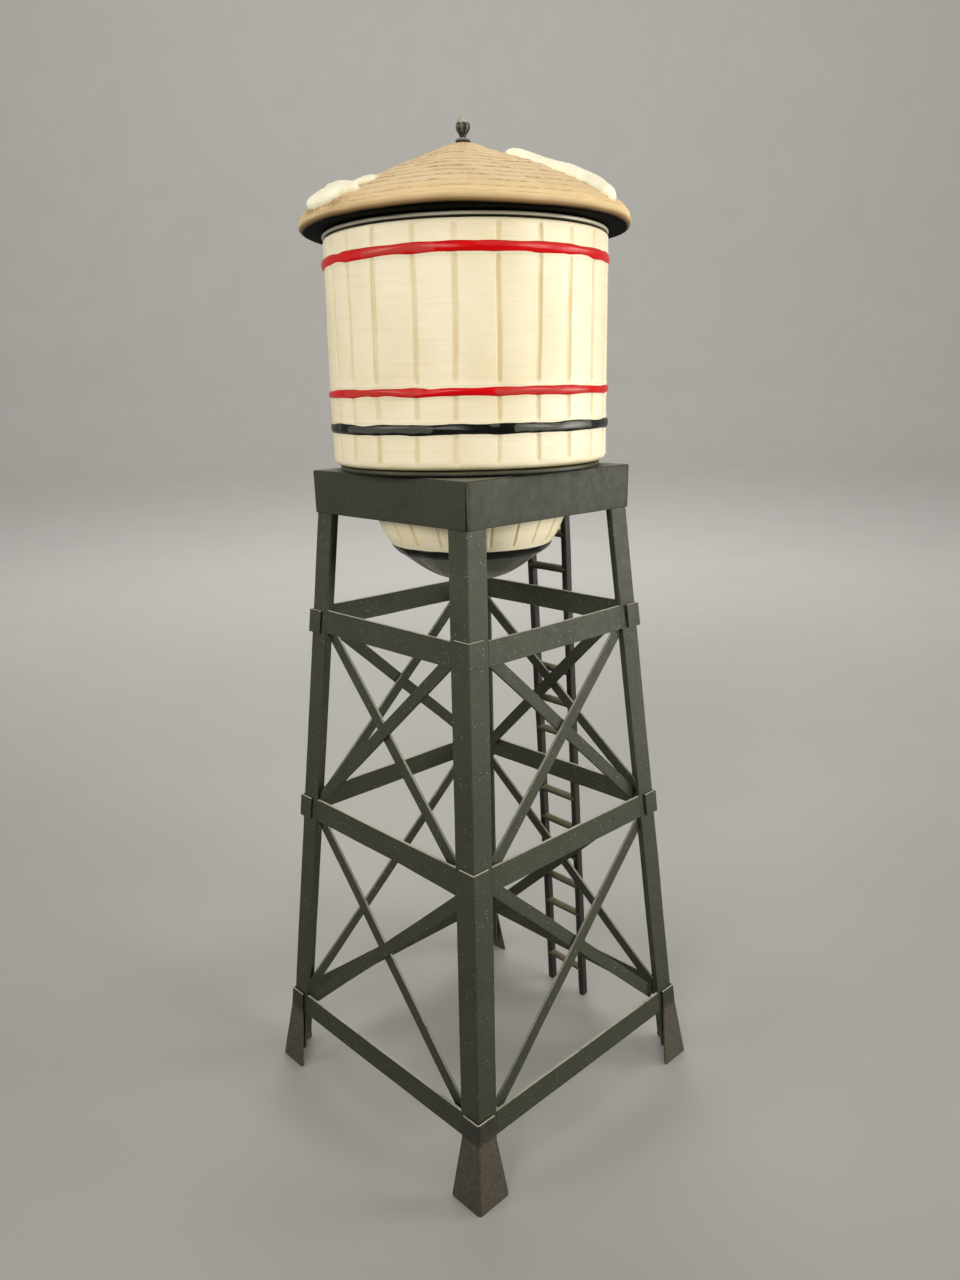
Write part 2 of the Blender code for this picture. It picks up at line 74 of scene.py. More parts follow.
# Stretches where a hoop has a painted reflection, paler and duller than its glaze: start and stop
# in degrees, strength, and share of the hoop's width
SHEEN_UPPER = (
    (-107, -85, 0.4, 0.9), (-85, -55, 0.9, 1.0), (-42, 14, 0.55, 0.55), (60, 104, 0.7, 0.9),
    (140, 188, 0.6, 0.6),
)
SHEEN_LOWER = ((-100, -59, 0.9, 0.9), (-34, 10, 1.0, 0.95), (48, 96, 0.8, 0.9), (130, 176, 0.9, 0.8))
SHEEN_BLACK = (
    (-108, -104, 0.5, 0.8), (-100, -57, 0.85, 0.85), (-36, -31, 0.9, 0.35), (-27, 12, 1.0, 0.9),
    (44, 88, 0.9, 0.85), (120, 170, 0.8, 0.9),
)

BOWL_PROFILE = (
    (27.6, 190.4), (27.55, 185.0), (27.5, 180.0), (27.0, 177.8), (25.9, 175.6), (24.5, 172.5),
    (22.7, 169.8), (21.2, 168.0), (19.9, 166.9), (17.6, 165.2), (13.6, 162.4), (9.5, 160.3),
    (4.8, 159.1), (0.0, 158.7),
)
BOWL_THICK = 2.0

ROOF_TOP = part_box("roof")[1].z / MM
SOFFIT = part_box("roof")[0].z / MM
ROOF_PROFILE = (
    (0.0, 273.3), (3.8, 272.3), (7.9, 270.6), (13.9, 268.2), (22.0, 264.8), (29.7, 261.3),
    (36.2, 258.3), (39.6, 256.75), (41.2, 255.75), (42.3, 254.8), (43.0, 253.75), (43.35, 252.8),
    (43.3, 252.0), (42.8, 251.35), (41.9, 251.0),
)
# Way down the slope from the apex to the lower edge of each row of shingles
SHINGLE_ROWS = (6.2, 10.2, 14.2, 17.7, 21.3, 24.6, 27.8, 31.6, 35.2, 39.1, 43.5, 46.2, 47.6)
SHINGLE_STEP = 0.26
WALL_SWELL_LIMIT = 0.32  # most that the wall stands out, near the hoops
EAVE_FRONT = -43.3  # direction of the point of the eave nearest the camera

# Drifts of snow as overlapping lobes: outline (direction in degrees, way down the slope), height of the
# rounded rim, width of that rim, and how much more the middle swells
SNOW_LEFT = (
    (((-80.2, 43.2), (-81.5, 44.3), (-86.8, 43.9), (-88.4, 45.7), (-90.7, 46.6), (-96.0, 47.0),
      (-100.5, 47.5), (-106.0, 46.6), (-113.0, 45.0), (-124.0, 43.1), (-140.0, 41.5), (-150.0, 39.0),
      (-148.0, 35.0), (-130.0, 33.5), (-110.0, 35.0), (-95.0, 37.8), (-85.0, 40.6)), 1.75, 1.7, 0.5),
    (((-84.0, 41.5), (-90.0, 42.2), (-100.0, 41.8), (-115.0, 40.5), (-132.0, 38.6), (-138.0, 36.5),
      (-130.0, 34.5), (-112.0, 35.5), (-96.0, 38.0), (-86.0, 40.0)), 2.7, 4.2, 0.9),
    (((-84.0, 36.3), (-83.0, 35.0), (-85.5, 32.5), (-95.0, 30.0), (-115.0, 27.5), (-140.0, 27.0),
      (-160.0, 29.0), (-170.0, 34.0), (-164.0, 38.0), (-150.0, 40.0), (-130.0, 40.0), (-110.0, 39.0),
      (-95.0, 37.8), (-88.0, 37.0)), 0.8, 1.8, 0.2),
)
SNOW_RIGHT = (
    (((12.6, 13.4), (13.5, 17.5), (14.0, 23.0), (14.5, 28.0), (14.5, 32.0), (14.0, 36.4), (10.5, 41.0),
      (9.5, 44.5), (11.5, 46.4), (15.0, 46.7), (19.0, 45.0), (25.0, 42.9), (36.0, 41.2), (58.0, 40.8),
      (80.0, 38.5), (92.0, 33.5), (82.0, 23.7), (60.0, 16.6), (38.0, 12.9), (20.0, 12.6)), 2.15, 3.2, 0.9),
    (((13.5, 26.0), (14.0, 31.0), (14.0, 36.4), (12.5, 40.5), (14.0, 43.3), (20.0, 42.8), (30.0, 40.8),
      (58.0, 39.5), (75.0, 36.0), (70.0, 28.0), (50.0, 23.0), (25.0, 22.0)), 2.45, 3.0, 1.15),
)
SNOW_UNDER = 0.8  # how deep the snow reaches into the roof

DECK_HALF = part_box("deck")[1].x / MM
DECK_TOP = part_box("deck")[1].z / MM
DECK_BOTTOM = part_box("deck")[0].z / MM
DECK_SHEET = 0.8
DECK_HOLE = 28.3
DECK_FOLD = 0.55
DECK_SEAM = 0.35
DECK_GROOVE = 0.5  # how deep the corner seam runs into the sheet

LADDER_MIDDLE = -2.3
LADDER_SKEW = math.radians(0.9)
LADDER_HALF = 7.2
LADDER_BOTTOM = 0.3
LADDER_TOP = 177.5
RAIL_WIDTH = 2.0
RAIL_DEPTH = 2.6
RUNG_RADIUS = 1.2
RUNG_PITCH = 11.25
RUNG_COUNT = 15
FOOT_HALF = 44.9
LEG_TOP_HALF = 30.9
LEG_RISE = 178.5
STAND_TILT = math.atan((FOOT_HALF - LEG_TOP_HALF) / LEG_RISE)


def srgb(red, green, blue):
    """Linear colour from 8-bit screen values."""
    linear = [((v / 255 + 0.055) / 1.055) ** 2.4 if v > 10 else v / 255 / 12.92 for v in (red, green, blue)]
    return (*linear, 1.0)


def shaded(colour, share):
    return tuple(share * v for v in colour[:3]) + (1.0,)


class Look:
    """One Principled material, built up from noise, masks and mixes.

    Clouds of noise are given as the noise that makes 0, the noise that makes 1, the size in
    millimetres and the stretch along X, Y and Z.
    """

    def __init__(self, name, colour, roughness, metallic=0.0, coat=0.0, coat_roughness=0.05, specular=0.5):
        self.material = bpy.data.materials.new(name)
        self.material.use_nodes = True
        self.nodes = self.material.node_tree.nodes
        self.links = self.material.node_tree.links
        self.shader = self.nodes["Principled BSDF"]
        self.set("Base Color", colour)
        self.set("Roughness", roughness)
        self.set("Metallic", metallic)
        self.set("Coat Weight", coat)
        self.set("Coat Roughness", coat_roughness)
        self.set("Specular IOR Level", specular)
        self.place = self.nodes.new("ShaderNodeTexCoord").outputs["Object"]
        self.base = None
        self.normal = None
        self.material.diffuse_color = colour

    def put(self, socket, value):
        if isinstance(value, bpy.types.NodeSocket):
            self.links.new(value, socket)
        else:
            socket.default_value = value

    def set(self, socket, value):
        """Set or link one input of the shader."""
        self.put(self.shader.inputs[socket], value)

    def add(self, kind, inputs, **settings):
        """Outputs of a new node whose inputs are set or linked by name or number."""
        node = self.nodes.new("ShaderNode" + kind)
        for name, value in settings.items():
            setattr(node, name, value)
        for socket, value in inputs.items():
            self.put(node.inputs[socket], value)
        return node.outputs

    def mask(self, name):
        return self.add("Attribute", {}, attribute_name=name)["Fac"]

    def height(self):
        """Height over the floor in metres."""
        return self.add("SeparateXYZ", {0: self.place})["Z"]

    def mapped(self, scale, offset):
        return self.add("Mapping", {"Scale": scale, "Location": offset, "Vector": self.place})["Vector"]

    def noise(self, size, stretch=(1, 1, 1), detail=3.0, seed=0.0):
        """Noise from 0 to 1 whose blotches are about size millimetres, times stretch."""
        scale = [1 / (size * MM * s) for s in stretch]
        place = self.mapped(scale, (seed, 2.3 * seed, -seed))
        inputs = {"Scale": 1.0, "Detail": detail, "Roughness": 0.55, "Vector": place}
        return self.add("TexNoise", inputs)["Fac"]

    def specks(self, size, radius, seed=0.0):
        """Scattered round dots, one in most cells of the given size, from 0 to 1."""
        place = self.mapped([1 / (size * MM)] * 3, (seed, seed, seed))
        distance = self.add("TexVoronoi", {"Scale": 1.0, "Vector": place})["Distance"]
        return self.step(distance, radius / size, 0.5 * radius / size)

    def step(self, value, start, stop):
        """Map value so that start gives 0 and stop gives 1."""
        return self.add("MapRange", {"From Min": start, "From Max": stop, "Value": value})["Result"]

    def cloud(self, start, stop, *size, **kind):
        """Noise of the given size and kind as a mask that goes from 0 at start to 1 at stop."""
        return self.step(self.noise(*size, **kind), start, stop)

    def calc(self, operation, first, second):
        return self.add("Math", {0: first, 1: second}, operation=operation)[0]

    def scaled(self, value, share):
        """Value times share, which is a number or a mask."""
        return self.calc("MULTIPLY", value, share)

    def mix(self, share, first, second):
        """Colour between first and second by share."""
        node = self.nodes.new("ShaderNodeMix")
        node.data_type = "RGBA"
        # A Mix node has inputs of one name for several types, so the colour ones are found by type
        colours = [socket for socket in node.inputs if socket.type == "RGBA"]
        self.put(node.inputs[0], share)
        self.put(colours[0], first)
        self.put(colours[1], second)
        return next(socket for socket in node.outputs if socket.type == "RGBA")

    def blend(self, share, first, second):
        """Make the base colour a mix of two by share."""
        self.base = self.mix(share, first, second)
        self.set("Base Color", self.base)

    def ground(self, first, second, *cloud, **kind):
        """Make the base colour a mix of two in clouds of noise."""
        self.blend(self.cloud(*cloud, **kind), first, second)

    def over(self, share, colour, *cloud, **kind):
        """Lay one more colour over the base, in clouds if they are given.

        share is a number, a mask or the name of one.
        """
        if isinstance(share, str):
            share = self.mask(share)
        if cloud:
            share = self.scaled(self.cloud(*cloud, **kind), share)
        self.blend(share, self.base, colour)

    def grain(self, depth, strength, *size, **kind):
        """Add one layer of relief from noise, depth in millimetres."""
        inputs = {"Strength": strength, "Distance": depth * MM, "Height": self.noise(*size, **kind)}
        if self.normal:
            inputs["Normal"] = self.normal
        self.normal = self.add("Bump", inputs)["Normal"]
        self.set("Normal", self.normal)


def cream_look():
    """Brushed cream glaze over staves; the brown wash stays faintly in the grooves."""
    look = Look("cream_glaze", srgb(238, 226, 192), 0.45, coat=0.03, coat_roughness=0.25, specular=0.25)
    look.ground(srgb(241, 231, 201), srgb(232, 218, 182), 0.35, 0.7, 22, detail=4)
    # Brush strokes round the tank, darker and paler than the ground
    look.over(0.35, srgb(216, 198, 154), 0.5, 0.85, 0.9, (16, 16, 0.6), detail=4, seed=3)
    look.over(0.3, srgb(249, 243, 221), 0.55, 0.8, 1.0, (10, 10, 0.8), seed=7)
    look.over("groove", srgb(219, 199, 152), 0.0, 0.62, 6, (1, 1, 2), seed=9)
    # Painted shade in the creases along the hoops' edges
    look.over("painted_shade", srgb(128, 110, 78))
    # Painted shade with a painted olive reflection of the deck on the wall's rounded foot
    look.over("foot_shade", srgb(196, 186, 140))
    pinhole = look.specks(26, 0.28, seed=4.4)
    look.over(look.scaled(pinhole, 0.5), srgb(165, 135, 90))
    look.set("Roughness", look.cloud(-0.5, 1.5, 9, detail=4, seed=5))
    look.set("Subsurface Weight", 0.05)
    look.set("Subsurface Radius", (0.9, 0.7, 0.4))
    look.set("Subsurface Scale", 0.001)
    look.grain(0.04, 0.7, 1.0, (12, 12, 0.5), detail=5, seed=2)
    look.grain(0.10, 0.6, 5, seed=11)
    return look.material


def red_look():
    look = Look("red_glaze", srgb(202, 2, 8), 0.3, coat=0.08, coat_roughness=0.1, specular=0.15)
    look.ground(srgb(197, 1, 6), srgb(211, 6, 14), 0.42, 0.66, 1.0, (18, 18, 0.9), seed=1)
    # Painted reflection in stretches round the hoop, paler and duller red
    look.over("painted_reflection", srgb(190, 62, 56))
    look.over("rim", srgb(128, 3, 8))
    look.grain(0.05, 0.6, 1.0, (14, 14, 0.7), seed=6)
    return look.material


def black_look():
    look = Look("black_glaze", srgb(10, 11, 10), 0.25, coat=0.05, coat_roughness=0.06, specular=0.22)
    look.ground(srgb(7, 8, 7), srgb(17, 18, 16), 0.5, 0.75, 1.0, (10, 10, 1.2), seed=8)
    # Painted reflection in stretches round the hoop, grey on the black glaze
    look.over("painted_reflection", srgb(84, 84, 75))
    look.set("Roughness", look.cloud(-0.4, 2.6, 7, seed=12))
    look.grain(0.06, 0.7, 1.0, (12, 12, 0.9), seed=13)
    return look.material


def ring_look():
    # The pale grey-cream is a painted reflection on the ring's glossy black glaze
    look = Look("ring_glaze", srgb(214, 210, 192), 0.3, coat=0.3, coat_roughness=0.15)
    look.ground(srgb(226, 218, 194), srgb(208, 199, 174), 0.35, 0.7, 1.0, (14, 14, 2), seed=5)
    # Painted shade along the ring's lower edge
    look.over("under", srgb(14, 13, 9))
    look.grain(0.03, 0.5, 2.5, detail=2, seed=4)
    return look.material


def step_look():
    """Olive glaze of the step under the wall, with painted shade turning it black where it meets the deck.
    """
    look = Look("step_glaze", srgb(72, 68, 49), 0.45, specular=0.25)
    look.ground(srgb(78, 74, 53), srgb(60, 57, 41), 0.35, 0.7, 1.0, (10, 10, 1.5), seed=8)
    look.over("under", srgb(9, 9, 7))
    look.grain(0.05, 0.5, 1.0, (8, 8, 1), seed=3)
    return look.material


def soffit_look():
    # Black glaze of the eave's underside, darker and more matt than the hoops' black: partly painted shade
    look = Look("soffit_glaze", srgb(4, 4, 3), 0.7, specular=0.02)
    look.ground(srgb(3, 3, 2), srgb(8, 7, 5), 0.35, 0.7, 6, seed=2)
    look.grain(0.04, 0.5, 3, seed=9)
    return look.material


def grey_cap_look():
    # Dark glossy glaze of the bowl's bottom; its grey is partly a painted reflection
    look = Look("grey_glaze", srgb(74, 75, 62), 0.34, coat=0.2, coat_roughness=0.15)
    look.ground(srgb(80, 81, 67), srgb(64, 65, 54), 0.3, 0.7, 9, detail=4)
    look.grain(0.06, 0.6, 3, detail=4, seed=2)
    return look.material


def roof_look():
    look = Look("roof_ceramic", srgb(224, 196, 149), 0.6, specular=0.25)
    look.ground(srgb(228, 201, 153), srgb(216, 188, 141), 0.3, 0.7, 9, detail=5)
    # Fine mottling and a flat wash, then pigment behind the steps
    look.over(0.2, srgb(202, 172, 124), 0.4, 0.8, 0.9, detail=4, seed=4)
    look.over(0.45, srgb(198, 168, 120), 0.5, 0.75, 0.8, (7, 7, 0.55), seed=15)
    look.over("line", srgb(160, 130, 86), 0.1, 0.6, 1.1, (2, 2, 1), detail=4, seed=25)
    patchy = look.cloud(0.3, 0.55, 1.6, detail=4, seed=35)
    look.over(look.scaled(look.mask("pale"), patchy), srgb(236, 221, 182))
    # Smudges on the left of the eave, darkened further as painted shade
    look.over(look.scaled(look.mask("smudge_and_shade"), patchy), srgb(112, 84, 46))
    # Painted shade on the lower roll of the eave: brown, then deep brown where it turns under
    look.over("brown", srgb(132, 102, 60))
    look.over("deep", srgb(66, 50, 29))
    look.over("black", srgb(5, 4, 3))
    look.set("Specular IOR Level", look.scaled(look.calc("SUBTRACT", 1.02, look.mask("black")), 0.25))
    look.set("Roughness", look.cloud(-1.2, 1.6, 3, seed=5))
    look.grain(0.05, 0.6, 0.7, detail=4, seed=6)
    look.grain(0.08, 0.5, 3.5, seed=7)
    return look.material


def snow_look():
    look = Look("snow", srgb(246, 238, 210), 0.66, specular=0.25)
    look.ground(srgb(251, 246, 221), srgb(243, 234, 199), 0.35, 0.75, 6, detail=4)
    # Painted shade on the low, thin edges of the drifts
    look.over("painted_shade", srgb(206, 186, 142))
    look.set("Subsurface Weight", 0.15)
    look.set("Subsurface Radius", (1.0, 0.85, 0.6))
    look.set("Subsurface Scale", 0.001)
    look.grain(0.08, 0.7, 0.5, detail=4, seed=3)
    look.grain(0.10, 0.5, 2.0, seed=8)
    return look.material


def painted_look(name, colour, dust, worn_and_lit, speckled=0.5, flare=None):
    """Matt paint on sheet metal with dust and flecks; rubbed upper edges are lighter, partly as painted
    highlight, and narrow lower edges get painted shade.

    speckled is the strength of the pale flecks, and flare the colour of the brushed metal
    below the bend of a foot.
    """
    look = Look(name, colour, 0.5, specular=0.32)
    look.ground(colour, shaded(colour, 0.8), 0.3, 0.7, 14, detail=5)
    # Dust on the orange peel of the paint, and a wide veil of it
    look.over(0.18, dust, 0.42, 0.75, 0.8, detail=2, seed=3)
    look.over(0.22, dust, 0.5, 0.9, 30, seed=21)
    if flare:
        ragged = look.calc("ADD", look.height(), look.scaled(look.noise(2.5, detail=4, seed=30), 2 * MM))
        bend_top, bend_low = 0.0204, 0.0192
        below = look.step(ragged, bend_top, bend_low)
        brush = look.cloud(0.3, 0.75, 0.6, (1, 1, 2.5), detail=5, seed=4)
        metal = look.mix(brush, shaded(flare, 0.62), shaded(flare, 1.35))
        look.over(below, metal)
    # Upright scratches, then flecks in some places and chips along rubbed edges, lighter also as a painted
    # highlight
    look.over(0.45, dust, 0.70, 0.76, 0.22, (1, 1, 16), detail=2, seed=27)
    flecks = look.calc("MAXIMUM", look.specks(1.3, 0.16, seed=1.7), look.specks(0.8, 0.08, seed=5.3))
    look.over(look.scaled(flecks, speckled), srgb(190, 187, 172), 0.42, 0.56, 7, seed=14)
    look.over("worn_and_lit", worn_and_lit, 0.15, 0.42, 1.6, detail=4, seed=17)
    # Painted shade on narrow faces that look down, and black in the deck's corner seams
    look.over("dark", srgb(8, 8, 6))
    look.set("Roughness", look.cloud(-1.1, 1.6, 2.5, detail=4, seed=19))
    look.grain(0.025, 0.6, 0.7, detail=2, seed=5)
    look.grain(0.08, 0.4, 8, detail=2, seed=6)
    return look.material


def pewter_look():
    look = Look("finial_metal", srgb(70, 66, 56), 0.45, metallic=0.3)
    look.ground(srgb(38, 36, 30), srgb(26, 25, 20), 0.3, 0.7, 1.2, detail=4)
    look.over("pale", srgb(184, 180, 160))
    look.over("flute", srgb(108, 104, 90))
    look.grain(0.03, 0.6, 0.4, seed=2)
    return look.material


def waves(angle, seed, low, high, count=9):
    """Wobble of about unit size that closes on itself round the circle."""
    rng = np.random.default_rng(seed)
    total = np.zeros_like(angle)
    for _ in range(count):
        total = total + np.cos(rng.integers(low, high + 1) * angle + rng.uniform(0, FULL_TURN))
    return total / math.sqrt(count / 2)


def bell(distance):
    """One at zero, falling smoothly to nothing at one."""
    return 0.5 + 0.5 * np.cos(math.pi * np.clip(np.abs(distance), 0.0, 1.0))


def ramp(value, start, stop):
    share = np.clip((value - start) / (stop - start), 0.0, 1.0)
    return share * share * (3 - 2 * share)


def arc(centre, radius, start, stop, count):
    """Points (r, z) of an arc; angles in degrees, zero outward and 90 up."""
    turns = np.radians(np.linspace(start, stop, count))
    return [(centre[0] + radius * math.cos(t), centre[1] + radius * math.sin(t)) for t in turns]


def smooth_profile(points, step):
    """Evenly spaced points on a Catmull-Rom curve through points, ends kept."""
    points = np.array(points, dtype=float)
    padded = np.vstack([2 * points[0] - points[1], points, 2 * points[-1] - points[-2]])
    path = [points[0]]
    for p0, p1, p2, p3 in zip(padded, padded[1:], padded[2:], padded[3:]):
        count = max(2, round(float(np.linalg.norm(p2 - p1)) / step))
        for t in np.arange(1, count + 1) / count:
            bend = (2 * p0 - 5 * p1 + 4 * p2 - p3) * t * t + (3 * p1 - p0 - 3 * p2 + p3) * t ** 3
            path.append(p1 + 0.5 * ((p2 - p0) * t + bend))
    return np.array(path)


def add_object(name, data):
    item = bpy.data.objects.new(name, data)
    bpy.context.scene.collection.objects.link(item)
    return item


def add_piece(mesh, materials, node):
    """Add a finished mesh as a piece of the tower, in place of the node's plain solid."""
    for material in materials:
        mesh.materials.append(material)
    item = add_object(mesh.name, mesh)
    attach(item, "root")
    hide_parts(node)
    return item


def add_mask(mesh, name, values):
    """Keep a number for each vertex of the mesh under a name."""
    layer = mesh.attributes.new(name, "FLOAT", "POINT")
    layer.data.foreach_set("value", np.asarray(values, dtype=np.float32).ravel())


def smooth_mesh(bm, mesh):
    """Write the edited faces back to the mesh, all shaded smooth."""
    for face in bm.faces:
        face.smooth = True
    bm.to_mesh(mesh)
    bm.free()
    return mesh


def ring_mesh(name, radius, height, angle, masks=(), zone=None, closed=True):
    """Mesh round the Z axis from (rows, columns) arrays in millimetres; rows run along the profile.

    masks are named arrays, and zone gives each row of faces its material.
    """
    radius, height, angle = np.broadcast_arrays(radius, height, angle)
    rows, columns = radius.shape
    points = np.stack([radius * np.cos(angle), radius * np.sin(angle), height], axis=-1) * MM
    index = np.arange(rows * columns).reshape(rows, columns)
    first = index if closed else index[:-1]
    second = np.roll(index, -1, axis=0) if closed else index[1:]
    corners = [first, second, np.roll(second, -1, axis=1), np.roll(first, -1, axis=1)]
    faces = np.stack(corners, axis=-1).reshape(-1, 4)
    mesh = bpy.data.meshes.new(name)
    mesh.from_pydata(points.reshape(-1, 3).tolist(), [], faces.tolist())
    for mask, values in dict(masks).items():
        add_mask(mesh, mask, np.broadcast_to(values, radius.shape))
    if zone is not None:
        mesh.polygons.foreach_set("material_index", np.repeat(zone, columns).astype(np.int32))
    bm = bmesh.new()
    bm.from_mesh(mesh)
    bmesh.ops.remove_doubles(bm, verts=bm.verts, dist=0.001 * MM)
    bmesh.ops.recalc_face_normals(bm, faces=bm.faces)
    return smooth_mesh(bm, mesh)


def lathe(profile, columns, wobble=None):
    """Radius, height and angle arrays of a plain turned profile; wobble is added to the radius."""
    angle = np.linspace(0, FULL_TURN, columns, endpoint=False)
    profile = np.array(profile)
    return profile[:, :1] + (wobble(angle) if wobble else 0.0), profile[:, 1:], angle


def stave_angles():
    """Directions of all stave lines in radians: those seen, then evenly round the far side."""
    rng = np.random.default_rng(5)
    seen = STAVE_LINES_SEEN
    left = STAVE_COUNT - len(seen)
    gap = (360 - (seen[-1] - seen[0])) / (left + 1)
    hidden = [seen[-1] + gap * (k + 1) + rng.uniform(-0.9, 0.9) for k in range(left)]
    return np.radians(np.array(list(seen) + hidden))


def stave_columns(lines, radius, half, between):
    """Columns that crowd at the stave lines.

    Returns each column's angle, the number of its line, its distance from that line in
    millimetres, and its share of the way to the next line.
    """
    near = np.linspace(-1.4 * half, 1.4 * half, 13)
    count = len(lines)
    angle, owner, offset, share = [], [], [], []
    for k in range(count):
        after = lines[(k + 1) % count] + (FULL_TURN if k == count - 1 else 0.0)
        span = (after - lines[k]) * radius
        free = np.linspace(near[-1], span + near[0], between + 2)[1:-1]
        for place in list(near) + list(free):
            angle.append(lines[k] + place / radius)
            closer = place < span / 2
            owner.append(k if closer else (k + 1) % count)
            offset.append(place if closer else place - span)
            share.append(np.clip(place / span, 0.0, 1.0))
    return np.array(angle), np.array(owner), np.array(offset), np.array(share)


def line_wobble(count, height, seed, size):
    """Sideways drift of each stave line with height, in millimetres, none on average."""
    rng = np.random.default_rng(seed)
    drift = np.zeros((len(height), count))
    for wave in (9.0, 23.0, 60.0):
        phase = rng.uniform(0, FULL_TURN, count)
        weight = rng.uniform(0.3, 1.0, count) * wave / 60
        drift += weight * np.sin(FULL_TURN * height[:, None] / wave + phase)
    return size * (drift - drift.mean(axis=0))


def grooves(height, columns, spans, seed, half):
    """Depth and pigment, from 0 to 1, of stave lines cut over the given height spans."""
    angle, owner, offset, _ = columns
    rng = np.random.default_rng(seed)
    count = owner.max() + 1
    depth = np.zeros((len(height), len(angle)))
    pigment = np.zeros_like(depth)
    for top, bottom in spans:
        tops = (top + rng.uniform(-0.3, 0.3, count))[owner]
        bottoms = (bottom + rng.uniform(-0.3, 0.3, count))[owner]
        strength = rng.uniform(0.65, 1.0, count)[owner]
        beyond = np.maximum(height[:, None] - tops, 0.0) + np.maximum(bottoms - height[:, None], 0.0)
        reach = np.hypot(offset, beyond)
        depth = np.maximum(depth, (1 - ramp(reach, 0.35 * half, half)) * strength)
        pigment = np.maximum(pigment, (1 - ramp(reach, 0.5 * half, 1.15 * half)) * strength)
    return depth, pigment


def make_tank_wall(cream):
    edge = 0.8
    foot = 1.9
    low = TANK_BOTTOM + foot
    outer = [(TANK_INNER, TANK_TOP)]
    outer += arc((TANK_RADIUS - edge, TANK_TOP - edge), edge, 90, 0, 6)
    outer += [(TANK_RADIUS, z) for z in np.linspace(TANK_TOP - edge, low, 116)[1:-1]]
    outer += arc((TANK_RADIUS - foot, low), foot, 0, -90, 9)
    outer += [(TANK_INNER, TANK_BOTTOM)]
    profile = np.array(outer)
    height = profile[:, 1]
    lines = stave_angles()
    columns = stave_columns(lines, TANK_RADIUS, GROOVE_HALF, 6)
    angle, owner, _, share = columns
    (upper_lo, upper_hi), (lower_lo, lower_hi), (black_lo, black_hi) = HOOP_SPANS.values()
    spans = (
        (TANK_TOP - 1.6, upper_hi + 0.6), (upper_lo - 0.9, lower_hi + 1.7), (lower_lo - 0.5, black_hi + 1.3),
        (black_lo - 0.9, TANK_BOTTOM + 2.2),
    )
    depth, pigment = grooves(height, columns, spans, 3, GROOVE_HALF)
    face = ramp(profile[:, 0], TANK_RADIUS - 0.6, TANK_RADIUS - 0.05)[:, None]
    drift = line_wobble(len(lines), height, 8, 0.25)
    ahead = np.roll(drift, -1, axis=1)
    start = np.where(share < 0.5, owner, (owner - 1) % len(lines))
    shift = drift[:, start] * (1 - share) + ahead[:, start] * share
    lean = math.radians(STAVE_LEAN) * (height - 225) / 30
    turn = angle + shift / TANK_RADIUS + lean[:, None]
    crown = 0.14 * (1 - (2 * share - 1) ** 2)
    unevenness = 0.07 * waves(turn, 21, 2, 7) * np.sin(height / 9.0)[:, None]
    strokes = 0.012 * np.sin(height[:, None] * 2.4 + 2.0 * waves(turn, 22, 3, 14))
    bulge = np.zeros(len(height))
    # Painted shade just under and over each hoop, where the wall meets the raised band
    painted_shade = np.zeros(len(height))
    for bottom, top in HOOP_SPANS.values():
        middle, half = (top + bottom) / 2, (top - bottom) / 2
        bulge = np.maximum(bulge, 0.26 * bell((height - middle) / (half + 1.5)))
        under = bell((height - bottom + 0.2) / 0.4)
        over = bell((height - top - 0.15) / 0.3)
        painted_shade = np.maximum(painted_shade, 0.22 * np.maximum(under, over))
    # Painted shade and painted olive reflection of the deck, growing towards the bottom of the foot
    foot_shade = 1 - ramp(height, TANK_BOTTOM + 0.25, TANK_BOTTOM + 1.1)
    # Held under the hoops' faces, so that they stay in sight all round
    relief = np.minimum(crown - 0.12 + bulge[:, None] + unevenness + strokes, WALL_SWELL_LIMIT)
    relief = relief - GROOVE_DEPTH * depth
    radius = profile[:, :1] + face * relief
    radius[profile[:, 0] < TANK_INNER + 0.1] = TANK_INNER
    masks = {"groove": pigment * face, "painted_shade": painted_shade[:, None], "foot_shade": foot_shade[:, None]}
    mesh = ring_mesh("tank_wall_glazed", radius, height[:, None], turn, masks)
    add_piece(mesh, [cream], "tank_wall")


def sheen_mask(angle, across, zones, seed):
    """One inside each stretch of painted reflection, whose ends are rounded and slightly uneven."""
    degrees = np.degrees(angle) + 1.2 * waves(angle, seed, 6, 40)
    total = np.zeros((len(across), len(angle)))
    for start, stop, strength, width in zones:
        middle, half = (start + stop) / 2, (stop - start) / 2
        beyond = np.abs((degrees - middle + 180) % 360 - 180) - (half - 1.5)
        lane = (across[:, None] - 0.5 * width) / (0.5 * width)
        reach = np.hypot(np.maximum(beyond / 1.5, 0.0), lane + 0.08 * waves(angle, seed + 1, 10, 60))
        total = np.maximum(total, strength * (1 - ramp(reach, 0.6, 0.95)))
    return total


